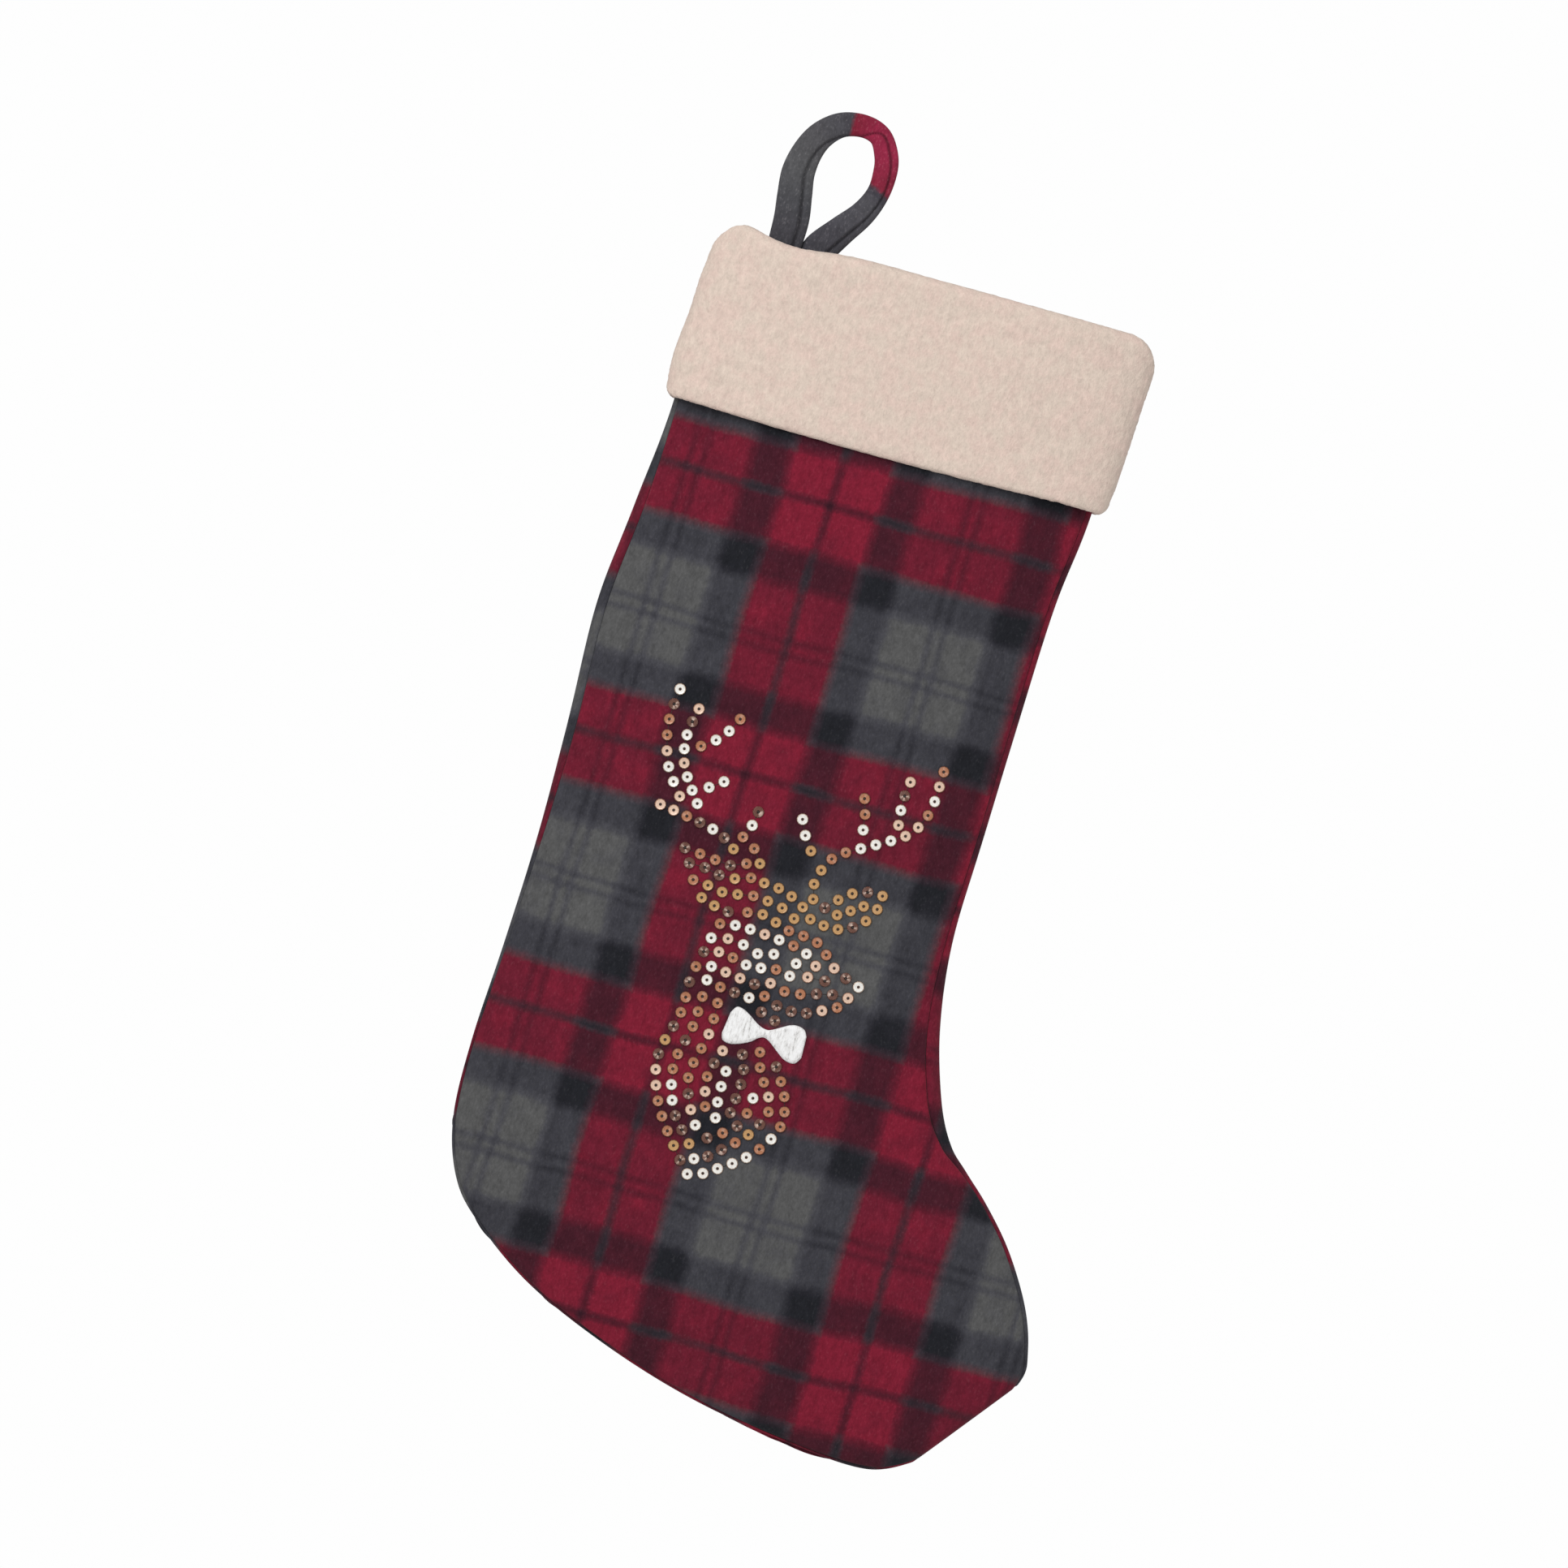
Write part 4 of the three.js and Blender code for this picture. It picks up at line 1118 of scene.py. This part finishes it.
# %% Sewing every strand
# letters of painted reflection and painted shade, one for each sequin
STRAND_PAINTED_TONES = {
    "left_antler_outer": "WSCCHWWH", "left_antler_middle": "HSWWHWWW",
    "left_antler_high_branch": "CWWC", "left_antler_low_branch": "WW",
    "left_antler_beam": "HHCSWSG", "left_antler_brow_tine": "SWC", "left_antler_base": "CG",
    "right_antler_inner_tine": "WWG", "right_antler_beam": "CHWCHHWWWCCGGG",
    "right_antler_middle_tine": "HSWH", "right_antler_small_tine": "CCW",
    "left_ear_top": "SCCSC", "left_ear_middle": "SSSGC", "left_ear_lower": "CGGGC",
    "left_ear_edge": "GGS", "crown_top": "GGGG", "crown_middle": "GGG",
    "right_ear_top": "GSGGS", "right_ear_middle": "GGGG", "right_ear_lower": "GGGSG",
    "forehead": "CGGCCCCHSW", "face_upper": "CWWHWCWH", "cheek_upper": "WHWWW",
    "muzzle_upper": "WHS", "cheek_middle": "SHCWWCW", "muzzle_middle": "HCCSSH",
    "cheek_lower": "CWHHS", "jaw": "CSSSHC", "throat": "WCSW", "chin": "SS",
    "neck_row_1": "SCCSGSHHCCCGSW", "neck_row_2": "CCCSCCWWSSGW", "neck_row_3": "CCHCCCSHW",
    "neck_row_4": "HSCHC", "neck_row_5": "WWWW", "neck_row_6": "SSSSS", "neck_row_7": "WCSCS",
    "neck_row_8": "CCCHCSGCSS", "neck_row_9": "SCCCCWCWWWW",
}
sewn = sum(sew_strand(f"{name}_sequins", painted_tones) for name, painted_tones in STRAND_PAINTED_TONES.items())
print(len(STRAND_PAINTED_TONES), "strands,", sewn, "sequins")

# %% [markdown]
# ## Bow tie
# The bow tie is a patch of filled embroidery: rows of satin stitches over padding, higher in the
# middle of each lobe and turned down at the edge. A fine grid is bent to the outline, lifted off the
# panel, and ridged across in the direction of the stitches. The finish adds the single threads.

# %% Bow tie
#   across, height in mm from the hook point, from the left end to the right end
BOW_TOP = [(44.4, -373.6), (46.3, -370.8), (48.9, -370.8), (52.3, -372.4), (57.4, -375.7),
           (61.1, -376.8), (63.6, -376.1), (67.2, -374), (70.5, -372.2), (73.7, -371.7),
           (76.8, -372.7), (78.4, -375.4)]
BOW_BOTTOM = [(43.1, -383.2), (44.1, -385.9), (47.2, -386.8), (51.3, -385.8), (55.9, -383.6),
              (58.6, -381.3), (61, -380.4), (63.8, -381.6), (67.6, -384.5), (71.8, -387.3),
              (76.2, -387.7), (78.6, -384.6)]
BOW_HEIGHT = 1.1  # mm above the panel
STITCH_SLANT, STITCH_STEP = 0.35, 0.9  # mm across for each mm up, and mm from ridge to ridge

bow_form = cloth_grid(150, 52)
for point in bow_form.verts:
    right, up = point.co.x, point.co.y
    top, bottom = smooth_route(BOW_TOP, right), smooth_route(BOW_BOTTOM, right)
    x = bottom.x + (top.x - bottom.x) * up
    z = bottom.y + (top.y - bottom.y) * up
    place, _ = on_panel(x * MM, z * MM)
    x, z = place.x / MM, place.z / MM
    edge = min(right, 1 - right) * 36, min(up, 1 - up) * (top.y - bottom.y)
    crown = min(1.0, (max(0.0, min(edge)) / 1.6)) ** 0.5
    ridge = math.sin((x + STITCH_SLANT * z) * 2 * math.pi / STITCH_STEP) * 0.05 * crown
    ridge += 0.07 * noise.noise(Vector((x * 1.6, z * 0.9, 0))) * crown
    point.co = Vector((x, place.y / MM - 0.15 - BOW_HEIGHT * crown - ridge, z)) * MM
bmesh.ops.recalc_face_normals(bow_form, faces=bow_form.faces)
if sum(f.normal.y for f in bow_form.faces) > 0:
    bmesh.ops.reverse_faces(bow_form, faces=bow_form.faces)

bow_finish, tree, shader = new_finish("bow_stitches", {"Roughness": 0.5, "Sheen Weight": 0.25})
spot = object_place(tree)
slanted = add(tree, "Mapping",
              {"Vector": spot, "Rotation": (0, 0.3, 0), "Scale": (1.0, 1.0, 0.28)}).outputs[0]
stitches = clouds(tree, slanted, 1500.0, 2.0)["Fac"]
specks = clouds(tree, slanted, 900.0, 3.0, 0.7)["Fac"]
stitch_colour = ramp(tree, specks, [(0.3, "b9b7b5"), (0.44, "efeeed"), (0.58, "ffffff")])
dress(tree, shader, stitch_colour, stitches, 0.35, 0.0003)

cloth_piece("bow_tie_embroidery", "bow_tie", bow_form, bow_finish, 0.5 * MM)

# %% [markdown]
# ## End
# All pieces of the stocking are built above.

# %% End
print("all pieces built")
